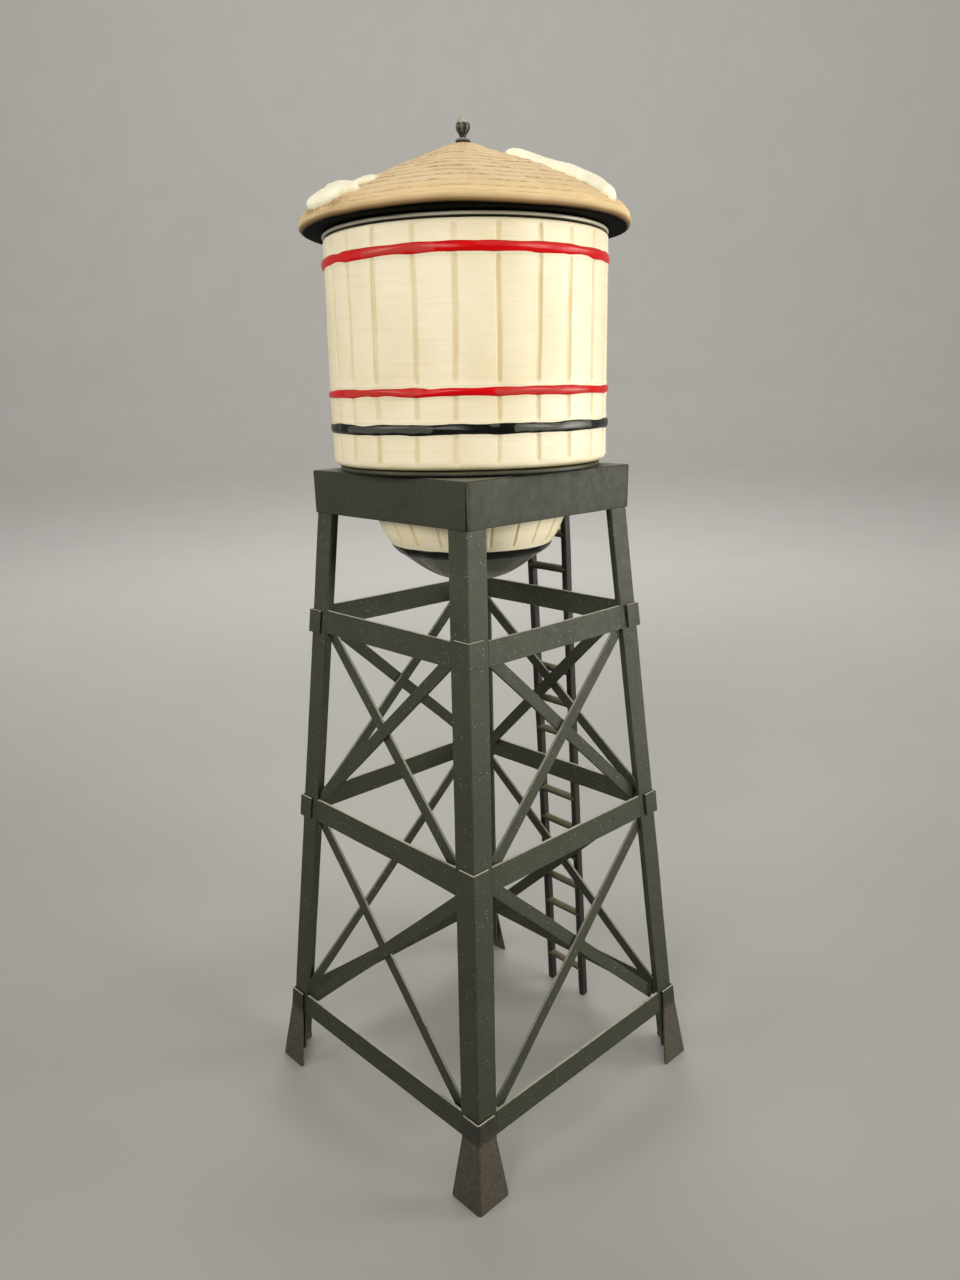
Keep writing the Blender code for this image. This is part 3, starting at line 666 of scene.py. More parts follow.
def make_hoop(name, material, seed, zones):
    """Hand-painted raised band: uneven edges, swelling and thinning round the tank."""
    bottom, top = HOOP_SPANS[name]
    angle = np.linspace(0, FULL_TURN, 720, endpoint=False)
    across = np.concatenate([np.linspace(0, 1, 21), [1.0, 0.5, 0.0]])
    front = (np.arange(len(across)) < 21)[:, None]
    upper = top + 0.08 * waves(angle, seed, 3, 14) + 0.012 * waves(angle, seed + 1, 20, 50)
    lower = bottom + 0.08 * waves(angle, seed + 2, 3, 14) + 0.012 * waves(angle, seed + 3, 20, 50)
    height = upper + (lower - upper) * across[:, None]
    swell = np.clip(np.sin(math.pi * across), 0, 1)[:, None] ** 0.6
    ridge = 0.44 + 0.04 * waves(angle, seed + 4, 3, 24)
    tilt = 0.04 * waves(angle, seed + 5, 3, 12) * np.sin(2 * math.pi * across)[:, None]
    radius = np.where(front, TANK_RADIUS + 0.06 + ridge * swell + tilt, TANK_RADIUS - 0.5)
    streak = 0.85 + 0.15 * np.sin(across * 11.0 + 1.0)[:, None]
    # Stretches of painted reflection round the band
    reflection_share = sheen_mask(angle, across, zones, seed + 6) * streak
    rim = 0.7 * bell(across / 0.1)[:, None] + 0.3 * bell((across - 1) / 0.1)[:, None]
    mesh = ring_mesh(name + "_glazed", radius, height, angle, {"painted_reflection": reflection_share, "rim": rim})
    add_piece(mesh, [material], name)


def make_bowl(cream, grey):
    """Rounded underside of the tank: staves above, grey below."""
    inner_profile = [(max(r - BOWL_THICK, 0.0), z + 1.6) for r, z in reversed(BOWL_PROFILE[2:])]
    outer, inner = smooth_profile(BOWL_PROFILE, 0.45), smooth_profile(inner_profile, 2.5)
    profile = np.vstack([outer, inner, [(BOWL_PROFILE[0][0] - BOWL_THICK, BOWL_PROFILE[0][1])]])
    mean_radius = 26.0
    columns = stave_columns(stave_angles(), mean_radius, 0.5, 6)
    angle = columns[0]
    height = profile[:, 1]
    depth, pigment = grooves(height, columns, ((188.0, 171.6),), 4, 0.6)
    outside = np.arange(len(profile)) < len(outer)
    front = outside.astype(float)[:, None]
    turn = angle + 0.15 * np.sin(height / 6.0)[:, None] / mean_radius
    size = profile[:, :1]
    radius = size + front * np.minimum(size / 20.0, 1.0) * (0.06 * waves(turn, 31, 2, 7) - 0.28 * depth)
    radius = np.maximum(radius, 0.0)
    radius[profile[:, 0] < 0.001] = 0.0
    zone = np.where((height < 168.6) & outside, 1, 0)
    mesh = ring_mesh("bowl_glazed", radius, height[:, None], turn, {"groove": pigment * front}, zone)
    add_piece(mesh, [cream, grey], "bowl")


def make_bowl_band(black):
    """Raised line of black glaze that follows the bowl's slope."""
    outer = smooth_profile(BOWL_PROFILE, 0.45)
    angle = np.linspace(0, FULL_TURN, 480, endpoint=False)
    across = np.linspace(0, 1, 11)[:, None]
    top, bottom = 170.0, 167.4
    start, end = (np.interp(z, outer[::-1, 1], outer[::-1, 0]) for z in (top, bottom))
    slope = np.array([start - end, top - bottom])
    normal = np.array([slope[1], -slope[0]]) / np.hypot(*slope)
    swell = np.sin(math.pi * across) ** 0.6 * 0.38
    shift = 0.10 * waves(angle, 41, 3, 22)
    radius = start + (end - start) * across + normal[0] * swell + shift * 0.3
    height = top + (bottom - top) * across + normal[1] * swell + shift
    radius = np.vstack([radius, end - 0.5 + 0 * angle, start - 0.5 + 0 * angle])
    height = np.vstack([height, 168.0 + 0 * angle, 169.6 + 0 * angle])
    mesh = ring_mesh("bowl_band_glazed", radius, height, angle)
    add_piece(mesh, [black], "bowl_black_band")


def shingle_strokes(angle, radius, rng):
    """Strength of a row's step round the roof, and how far its line bows uphill, in millimetres."""
    girth = FULL_TURN * radius
    along = (angle % FULL_TURN) * radius
    strength = np.full_like(angle, 0.3)
    bow = np.zeros_like(angle)
    place = rng.uniform(0.0, 4.0)
    end = place + girth
    while place < end - 1.5:
        length = min(rng.uniform(4.5, 13.0), end - place)
        middle = place + length / 2
        away = np.abs((along - middle + girth / 2) % girth - girth / 2) / (length / 2)
        strength = np.maximum(strength, (1 - ramp(away, 0.7, 1.1)) * rng.uniform(0.5, 1.0))
        bow += rng.uniform(-0.1, 0.4) * np.clip(1 - away ** 2, 0.0, 1.0) * (away < 1)
        place += length + rng.uniform(0.2, 0.9)
    return strength * (0.85 + 0.15 * waves(angle, rng.integers(1000), 30, 120)).clip(0.3, 1.0), bow


def roof_slope():
    """Way down the slope, place (r, z) and outward direction, for points from the apex to the soffit."""
    points = smooth_profile(ROOF_PROFILE, 0.2)
    way = np.concatenate([[0.0], np.cumsum(np.hypot(*np.diff(points, axis=0).T))])
    forward = np.gradient(points, way, axis=0)
    forward /= np.hypot(*forward.T)[:, None]
    return way, points, np.stack([-forward[:, 1], forward[:, 0]], axis=1)


def slope_at(way, lift=0.0):
    """Radius and height of the points that far down the slope, lifted off it."""
    ways, points, outward = roof_slope()
    return [np.interp(way, ways, points[:, k]) + lift * np.interp(way, ways, outward[:, k]) for k in (0, 1)]


def shingle_rows(angle):
    """Way down the slope, lift and pigment of each row of points, from the apex to the soffit."""
    rng = np.random.default_rng(17)
    # Rows of points of each course: share of its width, weight of its drift, thickness, pigment
    above = (
        (-0.66, 0.2, 0.0, 0.0), (-0.4, 0.4, 0.35, 0.0), (-0.16, 0.8, 0.75, 0.0), (-0.04, 1.0, 0.97, 0.25),
    )
    below = ((0.0, 1.0, 0.85, 0.8), (0.035, 1.0, 0.0, 1.0), (0.09, 0.9, 0.0, 0.4), (0.17, 0.5, 0.0, 0.0))
    rows = [(place, 0.0, 0.0) for place in (0.0, 1.6, 3.2)]
    ends = list(SHINGLE_ROWS[1:]) + [SHINGLE_ROWS[-1] + 1.3]
    before = 2.2
    for number, (row, end) in enumerate(zip(SHINGLE_ROWS, ends)):
        pitch = row - before
        size = float(slope_at(row)[0])
        strength, bow = shingle_strokes(angle, size, rng)
        strength = strength * min(1.0, 0.4 + size / 25) * min(1.0, pitch / 2.2)
        drift = 0.10 * waves(angle, 300 + number, 5, max(8, round(size))) - 0.5 * bow
        drift = drift * min(1.0, size / 14, pitch / 3.2)
        for share, weight, thick, pigment in above + below:
            place = row + share * (pitch if share < 0 else end - row) + weight * drift
            rows.append((place, SHINGLE_STEP * thick * strength, pigment * strength))
        before = row
    rows += [(place, 0.0, 0.0) for place in np.arange(ends[-1] + 0.1, roof_slope()[0][-1], 0.32)]
    return [np.array([row[k] + 0 * angle for row in rows]) for k in range(3)]


def make_roof(tan, dark):
    """Cone with rows of low uneven steps; the rows go on over the eave, whose underside is black."""
    angle = np.linspace(0, FULL_TURN, 640, endpoint=False)
    place, lift, line = shingle_rows(angle)
    low_waves = 0.12 * waves(angle, 61, 3, 9) * ramp(place, 6, 20)
    # The roof rises a little where the right-hand snow begins
    degrees = (np.degrees(angle) + 180) % 360 - 180
    low_waves += 0.45 * bell((degrees - 16) / 34) * ramp(place, 14, 22) * (1 - ramp(place, 38, 44))
    away = np.abs((degrees - EAVE_FRONT + 180) % 360 - 180)
    edge = place - 0.6 * ramp(away, 25, 75) - 0.04 * waves(angle, 66, 4, 30)
    radius, height = slope_at(place, lift)
    height += low_waves
    height[0] = ROOF_TOP
    radius[0] = 0.0
    inside = ((41.0, SOFFIT), (37.0, SOFFIT), (34.0, SOFFIT), (34.0, 256.1), (13.9, 265.0), (0.0, 268.2))
    inner = np.array(inside)[:, :, None] + 0 * angle
    zone = np.zeros(len(place) + len(inside) - 1)
    zone[len(place) - 1:] = 1
    masks = {
        "line": line,
        "pale": bell((degrees - 33) / 13) * bell((place - 47.6) / 1.6),
        # Smudges on the left of the eave together with painted shade
        "smudge_and_shade": 0.9 * bell((degrees + 97) / 22) * bell((place - 47.0) / 2.2),
        # Painted shade on the eave's lower roll, before the black glaze of its underside
        "brown": ramp(edge, 48.2, 49.6),
        "deep": ramp(edge, 49.6, 50.05),
        "black": ramp(edge, 50.05, 50.3),
    }
    masks = {name: np.vstack([values, 0 * inner[:, 0]]) for name, values in masks.items()}
    radius, height = np.vstack([radius, inner[:, 0]]), np.vstack([height, inner[:, 1]])
    mesh = ring_mesh("roof_shingled", radius, height, angle, masks, zone, closed=False)
    add_piece(mesh, [tan, dark], "roof")


def make_ring(material):
    low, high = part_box("roof_ring")
    bottom, top = low.z / MM, high.z / MM
    half = (top - bottom) / 2
    profile = arc((high.x / MM - half, (top + bottom) / 2), half, 90, -90, 13)
    profile += [(TANK_INNER, bottom), (TANK_INNER, top)]
    shape = lathe(profile, 360, lambda angle: 0.03 * waves(angle, 71, 3, 20))
    # The mask darkens the ring's lower edge as painted shade
    mesh = ring_mesh("roof_ring_glazed", *shape, {"under": 1 - ramp(shape[1], bottom + 0.05, bottom + 0.28)})
    add_piece(mesh, [material], "roof_ring")


def make_tank_floor(material):
    low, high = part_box("tank_floor")
    bottom, top, face = low.z / MM, high.z / MM, high.x / MM
    profile = arc((face - 0.5, top - 0.5), 0.5, 90, 0, 5)
    profile += [(face, z) for z in np.linspace(top - 0.5, bottom + 0.4, 5)[1:-1]]
    profile += arc((face - 0.4, bottom + 0.4), 0.4, 0, -90, 5)
    hole = 24.5
    profile += [(hole, bottom), (hole, top)]
    shape = lathe(profile, 240, lambda angle: 0.05 * waves(angle, 81, 3, 14))
    # Painted shade, black towards where the step meets the deck
    mesh = ring_mesh("tank_floor_glazed", *shape, {"under": 1 - ramp(shape[1], bottom + 0.2, top - 0.5)})
    add_piece(mesh, [material], "tank_floor")


def outline_depth(angle, way, radius, outline):
    """How far inside the outline each point of the slope lies, in millimetres; negative outside."""
    corners = [(math.radians(direction), down) for direction, down in outline]
    nearest = np.full(angle.shape, 1e9)
    inside = np.zeros(angle.shape, dtype=bool)
    for (a0, w0), (a1, w1) in zip(corners, corners[1:] + corners[:1]):
        x0, y0 = (a0 - angle) * radius, w0 - way
        x1, y1 = (a1 - angle) * radius, w1 - way
        dx, dy = x1 - x0, y1 - y0
        share = np.clip(-(x0 * dx + y0 * dy) / np.maximum(dx * dx + dy * dy, 1e-9), 0.0, 1.0)
        nearest = np.minimum(nearest, np.hypot(x0 + share * dx, y0 + share * dy))
        crosses = (y0 > 0) != (y1 > 0)
        rise = np.where(np.abs(dy) < 1e-9, 1e-9, dy)
        inside ^= crosses & (x0 - y0 * dx / rise > 0)
    return np.where(inside, nearest, -nearest)


def rough(points, size, seed):
    """Noise of the given size in millimetres at each of the points, from about -1 to 1."""
    shift = Vector((seed, -seed, 2.0 * seed))
    values = [noise.noise(Vector(point) / size + shift) for point in points.reshape(-1, 3).tolist()]
    return np.array(values).reshape(points.shape[:-1])


def make_snow(node, lobes, material, seed):
    """Drift of snow as a height over the roof's slope, sunk a little into the roof all round."""
    corners = np.array([corner for lobe in lobes for corner in lobe[0]])
    start, stop = np.radians([corners[:, 0].min() - 2, corners[:, 0].max() + 2])
    turns = np.arange(start, stop, math.radians(0.42))
    ways = np.arange(corners[:, 1].min() - 1, corners[:, 1].max() + 1, 0.26)
    angle, way = np.meshgrid(turns, ways)

    def placed(lift):
        radius, height = slope_at(way, lift)
        return np.stack([radius * np.cos(angle), radius * np.sin(angle), height], axis=-1)

    def corners_of(grid):
        return np.stack([grid[:-1, :-1], grid[:-1, 1:], grid[1:, 1:], grid[1:, :-1]], axis=-1)

    flat = placed(0.0)
    jagged = 0.25 * rough(flat, 1.2, seed)
    heights = []
    for outline, rim, shoulder, swell in lobes:
        depth = outline_depth(angle, way, slope_at(way)[0], outline) + jagged
        near = np.clip(depth / shoulder, 0.0, 1.0)
        full = rim * np.sqrt(1 - (1 - near) ** 2) + swell * ramp(depth, 0.0, 9.0)
        heights.append(np.where(depth > 0, full, 2.0 * depth))
    lift = np.logaddexp.reduce(4.0 * np.array(heights)) / 4.0
    layers = enumerate(((5.0, 0.15), (1.7, 0.08), (0.6, 0.05)), start=1)
    lumps = sum(height * rough(flat, size, seed + number) for number, (size, height) in layers)
    top = placed(lift + lumps * ramp(lift, -0.2, 0.8))
    under = placed(np.minimum(lift, 0.0) - SNOW_UNDER)
    rows, columns = angle.shape
    index = np.arange(rows * columns).reshape(rows, columns)
    cells = corners_of(index)[corners_of(lift).max(axis=-1) > -0.45].tolist()
    edges = {(a, b) for cell in cells for a, b in zip(cell, cell[1:] + cell[:1])}
    below = rows * columns
    faces = cells + [[v + below for v in reversed(cell)] for cell in cells]
    faces += [[b, a, a + below, b + below] for a, b in sorted(edges) if (b, a) not in edges]
    mesh = bpy.data.meshes.new(node + "_soft")
    points = np.concatenate([top.reshape(-1, 3), under.reshape(-1, 3)]) * MM
    mesh.from_pydata(points.tolist(), [], faces)
    # Painted shade where the drift is thin at its edges, and on its hidden underside
    low_shade = np.concatenate([1 - ramp(lift, 0.0, 0.7), np.ones_like(lift)])
    add_mask(mesh, "painted_shade", 0.6 * low_shade)
    bm = bmesh.new()
    bm.from_mesh(mesh)
    bmesh.ops.delete(bm, geom=[v for v in bm.verts if not v.link_faces], context="VERTS")
    bmesh.ops.recalc_face_normals(bm, faces=bm.faces)
    add_piece(smooth_mesh(bm, mesh), [material], node)


def make_finial(material):
    low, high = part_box("finial")
    tip, base = high.z / MM, low.z / MM
    bud = (
        (0.0, 0.22), (0.3, 0.4), (0.65, 0.85), (1.14, 1.42), (1.5, 1.95), (1.8, 2.6), (1.91, 3.2),
        (1.86, 3.65), (1.63, 4.2), (1.22, 4.75), (0.92, 5.25), (0.86, 5.7), (1.0, 5.92),
    )
    collar = [(1.5, 6.02), (1.7, 6.12), (1.8, 6.32), (1.77, 6.55), (1.66, 6.7), (1.88, 6.8), (1.93, 6.95)]
    rounded = smooth_profile([(radius, tip - down) for radius, down in bud], 0.12)
    square = [(radius, tip - down) for radius, down in collar] + [(collar[-1][0], base), (0.0, base)]
    profile = np.vstack([rounded, square])
    angle = np.linspace(0, FULL_TURN, 168, endpoint=False)
    height = profile[:, 1][:, None] + 0 * angle
    petals = 7
    body = ramp(height, tip - 5.3, tip - 4.4) * (1 - ramp(height, tip - 2.7, tip - 1.9))
    crest = np.abs(np.cos(petals * angle / 2))[None, :] ** 3
    radius = profile[:, :1] * (1 - 0.07 * body * (1 - crest))
    boundary = tip - 2.65 + 0.3 * np.abs(np.sin(petals * angle / 2 + 0.4))
    pale = ramp(height, boundary - 0.25, boundary + 0.25)
    rim = 0.8 * bell((height - (tip - 6.15)) / 0.45)
    masks = {"pale": np.clip(pale + rim, 0, 1), "flute": 0.7 * body * crest}
    mesh = ring_mesh("finial_bud", radius, height, angle, masks, closed=False)
    add_piece(mesh, [material], "finial")


def face_width(face):
    """Rough width of a long face."""
    return face.calc_area() / max(edge.calc_length() for edge in face.edges)


def is_fold(edge):
    return edge.is_convex and all(face_width(face) > 2 * MM for face in edge.link_faces)


def sharp_edges(bm):
    return [e for e in bm.edges if len(e.link_faces) == 2 and e.calc_face_angle(0.0) > math.radians(30)]


def close_ends(bm, node):
    """Bring the ends of a girt up to the legs, and the top of a leg up to the deck."""
    reach = 0.27 * MM
    if node.endswith("_leg"):
        top = max(v.co.z for v in bm.verts)
        for vertex in bm.verts:
            if vertex.co.z > top - 0.1 * MM:
                vertex.co.z += reach
    if node.endswith("_girt"):
        wide = [max(v.co[k] for v in bm.verts) for k in (0, 1)]
        deep = [min(v.co[k] for v in bm.verts) for k in (0, 1)]
        axis = 0 if wide[0] - deep[0] > wide[1] - deep[1] else 1
        for vertex in bm.verts:
            vertex.co[axis] += math.copysign(reach, vertex.co[axis])


def bevelled(bm, edges, offset, segments, profile=0.5):
    if edges:
        bmesh.ops.bevel(
            bm, geom=edges, offset=offset * MM, offset_type="OFFSET", segments=segments, profile=profile,
            affect="EDGES", clamp_overlap=True,
        )


def cut_across(bm, place, direction):
    everything = bm.verts[:] + bm.edges[:] + bm.faces[:]
    bmesh.ops.bisect_plane(bm, geom=everything, plane_co=place, plane_no=direction)


def slice_up(bm, pitch):
    """Cut the mesh across its longest way, so that it can bend."""
    low = Vector([min(v.co[k] for v in bm.verts) for k in range(3)])
    high = Vector([max(v.co[k] for v in bm.verts) for k in range(3)])
    size = high - low
    axis = max(range(3), key=lambda k: size[k])
    direction = Vector([1.0 if k == axis else 0.0 for k in range(3)])
    cuts = int(size[axis] / (pitch * MM))
    for cut in range(1, cuts):
        cut_across(bm, low + direction * (size[axis] * cut / cuts), direction)


def mark_edges(bm, strength):
    """Mark narrow faces that look up as rubbed paint with a painted highlight, and those that look down for
    painted shade.
    """
    worn_and_lit = bm.faces.layers.float.new("worn_and_lit")
    dark = bm.faces.layers.float.new("dark")
    for face in bm.faces:
        if abs(face.normal.z) > 0.45 and face_width(face) < 1.2 * MM:
            face[worn_and_lit if face.normal.z > 0 else dark] = strength if face.normal.z > 0 else 0.8


def finish_sheet(bm, name, material, node, bend):
    """Give the sheet its hand-bent unevenness and its shading, and link it."""
    for vertex in bm.verts:
        vertex.co += noise.noise_vector(vertex.co / (16 * MM)) * bend * MM
        vertex.co.z = max(vertex.co.z, 0.0)
    item = add_piece(smooth_mesh(bm, bpy.data.meshes.new(name)), [material], node)
    shading = item.modifiers.new("Flat faces", "WEIGHTED_NORMAL")
    shading.weight = 80
    return item


def sheet_piece(node, material, lit_wear_strength, fold=0.45, bend=0.10):
    """Sheet-metal part with rounded folds, softened cut edges, and upper edges lighter as rubbed paint and
    painted highlight.
    """
    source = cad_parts[node]
    bm = bmesh.new()
    bm.from_mesh(source.data)
    bm.transform(source.matrix_world)
    bmesh.ops.remove_doubles(bm, verts=bm.verts, dist=0.002 * MM)
    bmesh.ops.dissolve_limit(bm, angle_limit=math.radians(2), verts=bm.verts, edges=bm.edges)
    bmesh.ops.recalc_face_normals(bm, faces=bm.faces)
    close_ends(bm, node)
    if node.endswith("_foot"):
        tips = [
            e for e in sharp_edges(bm)
            if e.is_convex and e.calc_length() < 0.9 * MM and max(v.co.z for v in e.verts) < 0.05 * MM
        ]
        bevelled(bm, tips, 0.8, 4)
    bevelled(bm, [e for e in sharp_edges(bm) if is_fold(e)], fold, 5)
    bevelled(bm, sharp_edges(bm), 0.12, 2, 0.6)
    mark_edges(bm, lit_wear_strength)
    slice_up(bm, 4.0)
    return finish_sheet(bm, node + "_painted", material, node, bend)


def make_deck(material):
    """Folded tray: rounded bends, mitred skirts whose corner seams open downwards, a round hole."""
    inner = DECK_HALF - DECK_SHEET
    bend = arc((DECK_HALF - DECK_FOLD, DECK_TOP - DECK_FOLD), DECK_FOLD, 90, 0, 7)
    outside = bend + [(DECK_HALF, z) for z in np.linspace(DECK_TOP - 1.0, DECK_BOTTOM + 0.12, 6)]
    rim = [(DECK_HALF - 0.12, DECK_BOTTOM), (DECK_HALF - DECK_GROOVE, DECK_BOTTOM)]
    rim += [(inner + 0.12, DECK_BOTTOM), (inner, DECK_BOTTOM + 0.12)]
    inside = [(inner, DECK_TOP - DECK_SHEET), (DECK_HALF - DECK_FOLD - 0.3, DECK_TOP - DECK_SHEET)]
    loop = outside + rim + inside
    fold, seam_end = len(bend) - 1, len(outside) + 1
    across = np.linspace(-1.0, 1.0, 33)
    bm = bmesh.new()
    worn_and_lit = bm.faces.layers.float.new("worn_and_lit")
    dark = bm.faces.layers.float.new("dark")
    for side in range(4):
        spin = Matrix.Rotation(side * FULL_TURN / 4, 4, "Z")
        rows = []
        for number, (away, z) in enumerate(loop):
            depth = (DECK_TOP - z) / (DECK_TOP - DECK_BOTTOM)
            seam = 0.08 + (DECK_SEAM - 0.08) * depth if fold < number < seam_end else 0.0
            rows.append([bm.verts.new(spin @ Vector(((away - seam) * s, -away, z))) for s in across])
        for first, second in zip(rows, rows[1:]):
            for k in range(len(across) - 1):
                bm.faces.new((first[k], second[k], second[k + 1], first[k + 1]))
        # The seams' ends are closed with faces painted black, as painted shade deep in the seam
        for end in (0, -1):
            bm.faces.new([row[end] for row in rows[fold:seam_end + 1]])[dark] = 1.0
        # Flat top from the fold to the hole, and its lower face
        for away, z in (loop[0], loop[-1]):
            spots = [Vector((away * s, -away, z)) for s in across]
            rim_spots = [Vector((*(spot.xy.normalized() * DECK_HOLE), z)) for spot in spots]
            spots, rim_spots = ([bm.verts.new(spin @ p) for p in line] for line in (spots, rim_spots))
            for k in range(len(across) - 1):
                bm.faces.new((spots[k], spots[k + 1], rim_spots[k + 1], rim_spots[k]))
    bmesh.ops.remove_doubles(bm, verts=bm.verts, dist=0.01)
    bmesh.ops.bridge_loops(bm, edges=[e for e in bm.edges if len(e.link_faces) == 1])
    bmesh.ops.recalc_face_normals(bm, faces=bm.faces)
    bm.transform(Matrix.Scale(MM, 4))
    for face in bm.faces:
        middle = face.calc_center_median().z / MM
        # The top face gets a little rubbed paint with painted highlight
        face[worn_and_lit] = 0.24 if middle > DECK_TOP - 0.1 else 0.0
        # Painted shade along the narrow bottom faces of the skirts
        if middle < DECK_BOTTOM + 0.15:
            face[dark] = 0.8
    finish_sheet(bm, "deck_painted", material, "deck", 0.04)


def add_rails(bm):
    """Two long rails with rounded edges, cut across so that they can bend."""
    length = LADDER_TOP - LADDER_BOTTOM
    for side in (-1, 1):
        place = Matrix.Translation((side * LADDER_HALF, 0.0, (LADDER_BOTTOM + LADDER_TOP) / 2))
        size = Matrix.Diagonal((RAIL_WIDTH, RAIL_DEPTH, length, 1.0))
        made = bmesh.ops.create_cube(bm, size=1.0, matrix=place @ size)
        edges = {edge for vertex in made["verts"] for edge in vertex.link_edges}
        bmesh.ops.bevel(bm, geom=list(edges), offset=0.4, segments=3, profile=0.55, affect="EDGES")
    cuts = 60
    for cut in range(1, cuts):
        cut_across(bm, Vector((0.0, 0.0, LADDER_BOTTOM + length * cut / cuts)), (0, 0, 1))


def add_rung(bm, worn_and_lit, number):
    """Lumpy round rung with rounded ends, lighter along its top as worn paint and painted highlight."""
    around = 18
    reach = LADDER_HALF + 0.75
    # Along the rung as a share of its reach, and thickness there
    end = [(-1.0, 0.0), (-0.995, 0.45), (-0.975, 0.75), (-0.94, 0.93), (-0.88, 1.0)]
    steps = end + [(x, 1.0) for x in np.linspace(-0.7, 0.7, 9)] + [(-x, r) for x, r in reversed(end)]
    z = RUNG_PITCH * (number + 1)
    lean = 0.15 * noise.noise(Vector((number * 3.7, 1.0, 0.0)))
    rows = []
    for x, r in steps:
        lump = 1.0 + 0.05 * noise.noise(Vector((x * 6, number * 5.1, 2.0)))
        size = max(RUNG_RADIUS * r * lump, 0.01)
        ring = []
        for k in range(around):
            turn = FULL_TURN * k / around
            spot = Vector((x * reach, 0.25 + size * math.sin(turn), z + lean * x + size * math.cos(turn)))
            vertex = bm.verts.new(spot)
            vertex[worn_and_lit] = 0.9 * max(0.0, math.cos(turn)) ** 0.7 + 0.1
            ring.append(vertex)
        rows.append(ring)
    for first, second in zip(rows, rows[1:]):
        for k in range(around):
            j = (k + 1) % around
            bm.faces.new((first[k], first[j], second[j], second[k]))
    bm.faces.new(list(reversed(rows[0])))
    bm.faces.new(rows[-1])


def make_ladder(material):
    """Two rails and rounded rungs, hung on the far side of the stand."""
    bm = bmesh.new()
    worn_and_lit = bm.verts.layers.float.new("worn_and_lit")
    add_rails(bm)
    for number in range(RUNG_COUNT):
        add_rung(bm, worn_and_lit, number)
    bmesh.ops.recalc_face_normals(bm, faces=bm.faces)
    for vertex in bm.verts:
        vertex.co += noise.noise_vector(vertex.co / 20.0) * 0.12
    out = RAIL_DEPTH / 2 + 0.3
    middle = (LADDER_BOTTOM + LADDER_TOP) / 2
    lean = Matrix.Translation((0.0, -FOOT_HALF, 0.0)) @ Matrix.Rotation(-STAND_TILT, 4, "X")
    hang = Matrix.Translation((-LADDER_MIDDLE, -out, middle)) @ Matrix.Rotation(-LADDER_SKEW, 4, "Y")
    place = Matrix.Rotation(math.pi, 4, "Z") @ lean @ hang @ Matrix.Translation((0.0, 0.0, -middle))
    bm.transform(Matrix.Scale(MM, 4) @ place)
    for vertex in bm.verts:
        vertex.co.z = max(vertex.co.z, 0.2 * MM)
    mesh = smooth_mesh(bm, bpy.data.meshes.new("ladder_painted"))
    add_piece(mesh, [material], "ladder")


def make_stand():
    paint = srgb(60, 62, 48)
    # Pale colour of rubbed upper edges, partly a painted highlight
    bright = srgb(228, 224, 201)
    charcoal = painted_look("stand_paint", paint, srgb(89, 91, 73), bright, 0.9)
    brown = painted_look("foot_paint", srgb(54, 53, 45), srgb(76, 73, 63), bright, flare=srgb(88, 81, 69))
    tray = painted_look("deck_paint", srgb(51, 53, 40), srgb(83, 85, 68), bright, 0.2)
    dark = painted_look("ladder_paint", srgb(40, 38, 31), srgb(70, 66, 55), srgb(150, 140, 112))
    # Strength of rubbed paint and painted highlight on upper edges, by kind of part
    strengths = {"_leg": 0.0, "_plate": 1.0, "_girt": 0.85, "_brace": 0.4}
    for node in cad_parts:
        kind = "_" + node.rsplit("_", 1)[-1]
        if kind == "_foot":
            sheet_piece(node, brown, 1.0, fold=0.9)
        elif kind in strengths:
            sheet_piece(node, charcoal, strengths[kind])
    make_deck(tray)
    make_ladder(dark)


def make_floor():
    """Paper floor that turns up into a low round wall beyond every camera."""
    profile = smooth_profile([(0.0, 0.0), (0.6, 0.0), (2.0, 0.0), (2.5, 0.12), (2.8, 0.5), (2.85, 1.7)], 0.2)
    mesh = ring_mesh("floor", *lathe(profile / MM, 96), closed=False)
    look = Look("floor_paper", srgb(216, 214, 208), 0.85, specular=0.15)
    look.ground(srgb(219, 217, 211), srgb(211, 209, 203), 0.0, 1.0, 90, detail=4)
    look.grain(0.05, 0.3, 2)
    mesh.materials.append(look.material)
    floor = add_object("floor", mesh)


def add_lamp(name, size, watts, place, away):
    """Area lamp at a place, shining against the direction away."""
    lamp = bpy.data.lights.new(name, "AREA")
    lamp.size = size
    lamp.energy = watts
    item = add_object(name, lamp)
    item.location = place
    item.rotation_euler = away.to_track_quat("Z", "Y").to_euler()
    return lamp


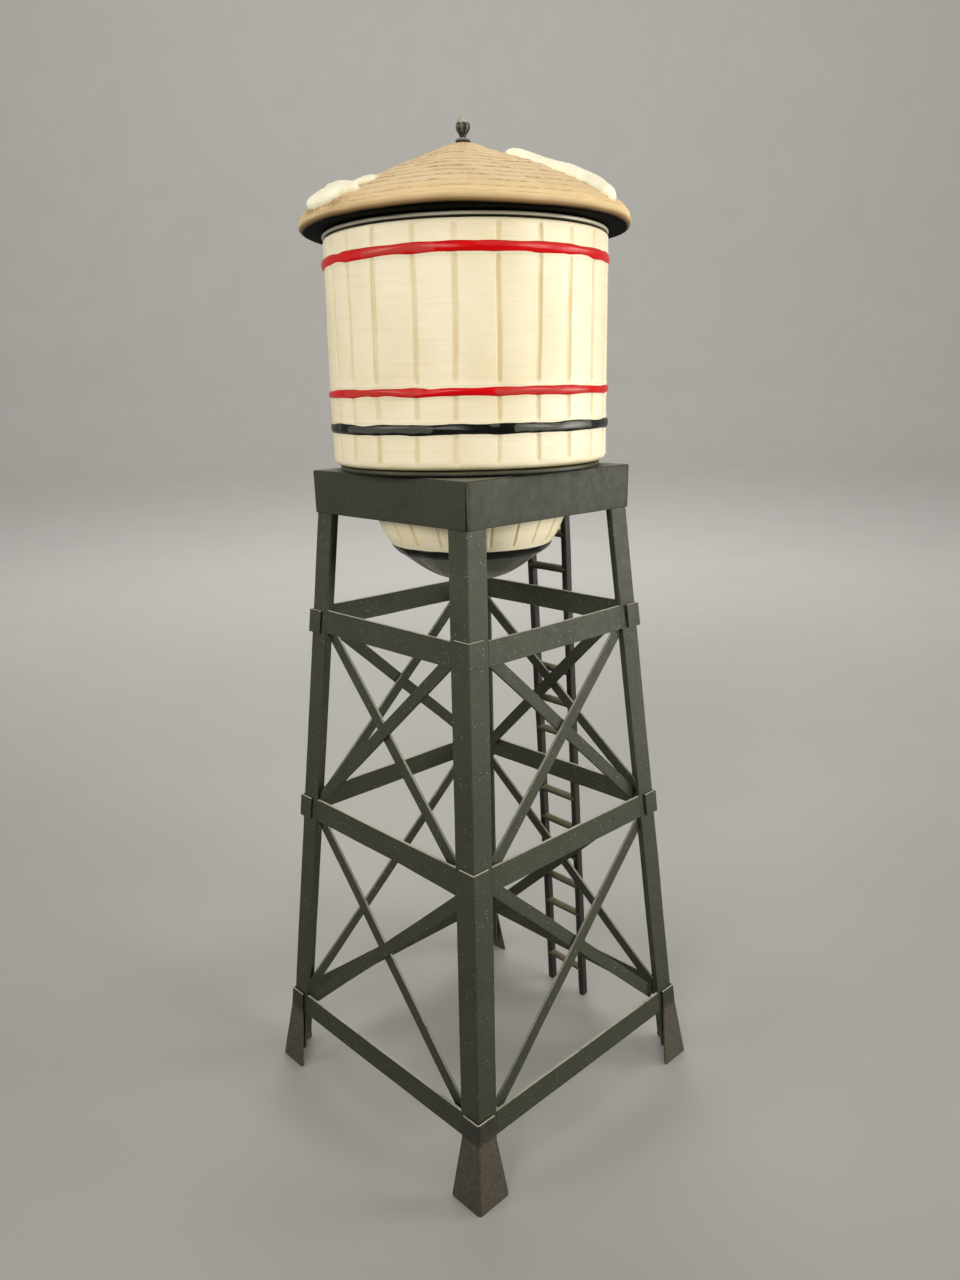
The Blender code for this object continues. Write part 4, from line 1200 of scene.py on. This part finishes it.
def make_lamps():
    world = bpy.data.worlds.new("studio")
    world.use_nodes = True
    background = world.node_tree.nodes["Background"]
    background.inputs["Color"].default_value = (1.0, 0.985, 0.95, 1.0)
    background.inputs["Strength"].default_value = 0.15
    bpy.context.scene.world = world

    # Azimuth, elevation, distance, height aimed at, size, spread in degrees, watts, colour
    lamps = {
        "key": (12.0, 12.0, 0.75, 0.235, 0.35, 42.0, 0.24, (1.0, 0.98, 0.94)),
        "right": (48.0, 4.0, 0.9, 0.2, 0.5, 46.0, 0.50, (1.0, 0.98, 0.93)),
        "fill": (-62.0, 16.0, 0.75, 0.235, 0.35, 42.0, 0.20, (1.0, 0.99, 0.96)),
        "side": (-110.0, 14.0, 0.75, 0.235, 0.35, 42.0, 0.18, (1.0, 0.99, 0.96)),
        "back": (137.0, 45.0, 1.3, 0.2, 0.8, 120.0, 1.5, (1.0, 0.98, 0.95)),
        "top": (-43.0, 78.0, 0.9, 0.2, 0.5, 90.0, 0.25, (1.0, 0.98, 0.95)),
    }
    for name, (azimuth, elevation, distance, aim, size, spread, watts, colour) in lamps.items():
        turn, rise = math.radians(azimuth), math.radians(elevation)
        away = Vector((math.cos(turn) * math.cos(rise), math.sin(turn) * math.cos(rise), math.sin(rise)))
        lamp = add_lamp(name, size, watts, Vector((0.0, 0.0, aim)) + away * distance, away)
        lamp.shape = "DISK"
        lamp.spread = math.radians(spread)
        lamp.color = colour
    # One more lamp lights the floor's far wall behind the tower
    add_lamp("backdrop", 1.2, 22.0, (-0.55, 0.51, 1.5), Vector((1.46, -1.36, 1.0)))


def make_camera():
    """Camera at the photograph's viewing angle, with its slight roll."""
    camera = bpy.data.cameras.new("camera")
    camera.sensor_width = 36.0
    camera.lens = 26.92
    camera.clip_start = 0.01
    camera.clip_end = 20.0
    item = add_object("camera", camera)
    item.location = (0.197715, -0.186413, 0.2112)
    item.rotation_mode = "QUATERNION"
    heading, tilt, roll = 46.334, 75.362, -1.212
    spin = Matrix.Identity(3)
    for degrees, axis in ((heading, "Z"), (tilt, "X"), (roll, "Z")):
        spin = spin @ Matrix.Rotation(math.radians(degrees), 3, axis)
    item.rotation_quaternion = spin.to_quaternion()
    bpy.context.scene.camera = item
    bpy.context.scene.view_settings.view_transform = "Standard"


def make_tank():
    cream, red, black, snow = cream_look(), red_look(), black_look(), snow_look()
    make_tank_wall(cream)
    make_hoop("upper_red_hoop", red, 11, SHEEN_UPPER)
    make_hoop("lower_red_hoop", red, 12, SHEEN_LOWER)
    make_hoop("black_hoop", black, 13, SHEEN_BLACK)
    make_bowl(cream, grey_cap_look())
    make_bowl_band(black)
    make_roof(roof_look(), soffit_look())
    make_ring(ring_look())
    make_tank_floor(step_look())
    make_snow("snow_patch_left", SNOW_LEFT, snow, 3.0)
    make_snow("snow_patch_right", SNOW_RIGHT, snow, 9.0)
    make_finial(pewter_look())


make_floor()
make_lamps()
make_camera()
make_tank()
make_stand()
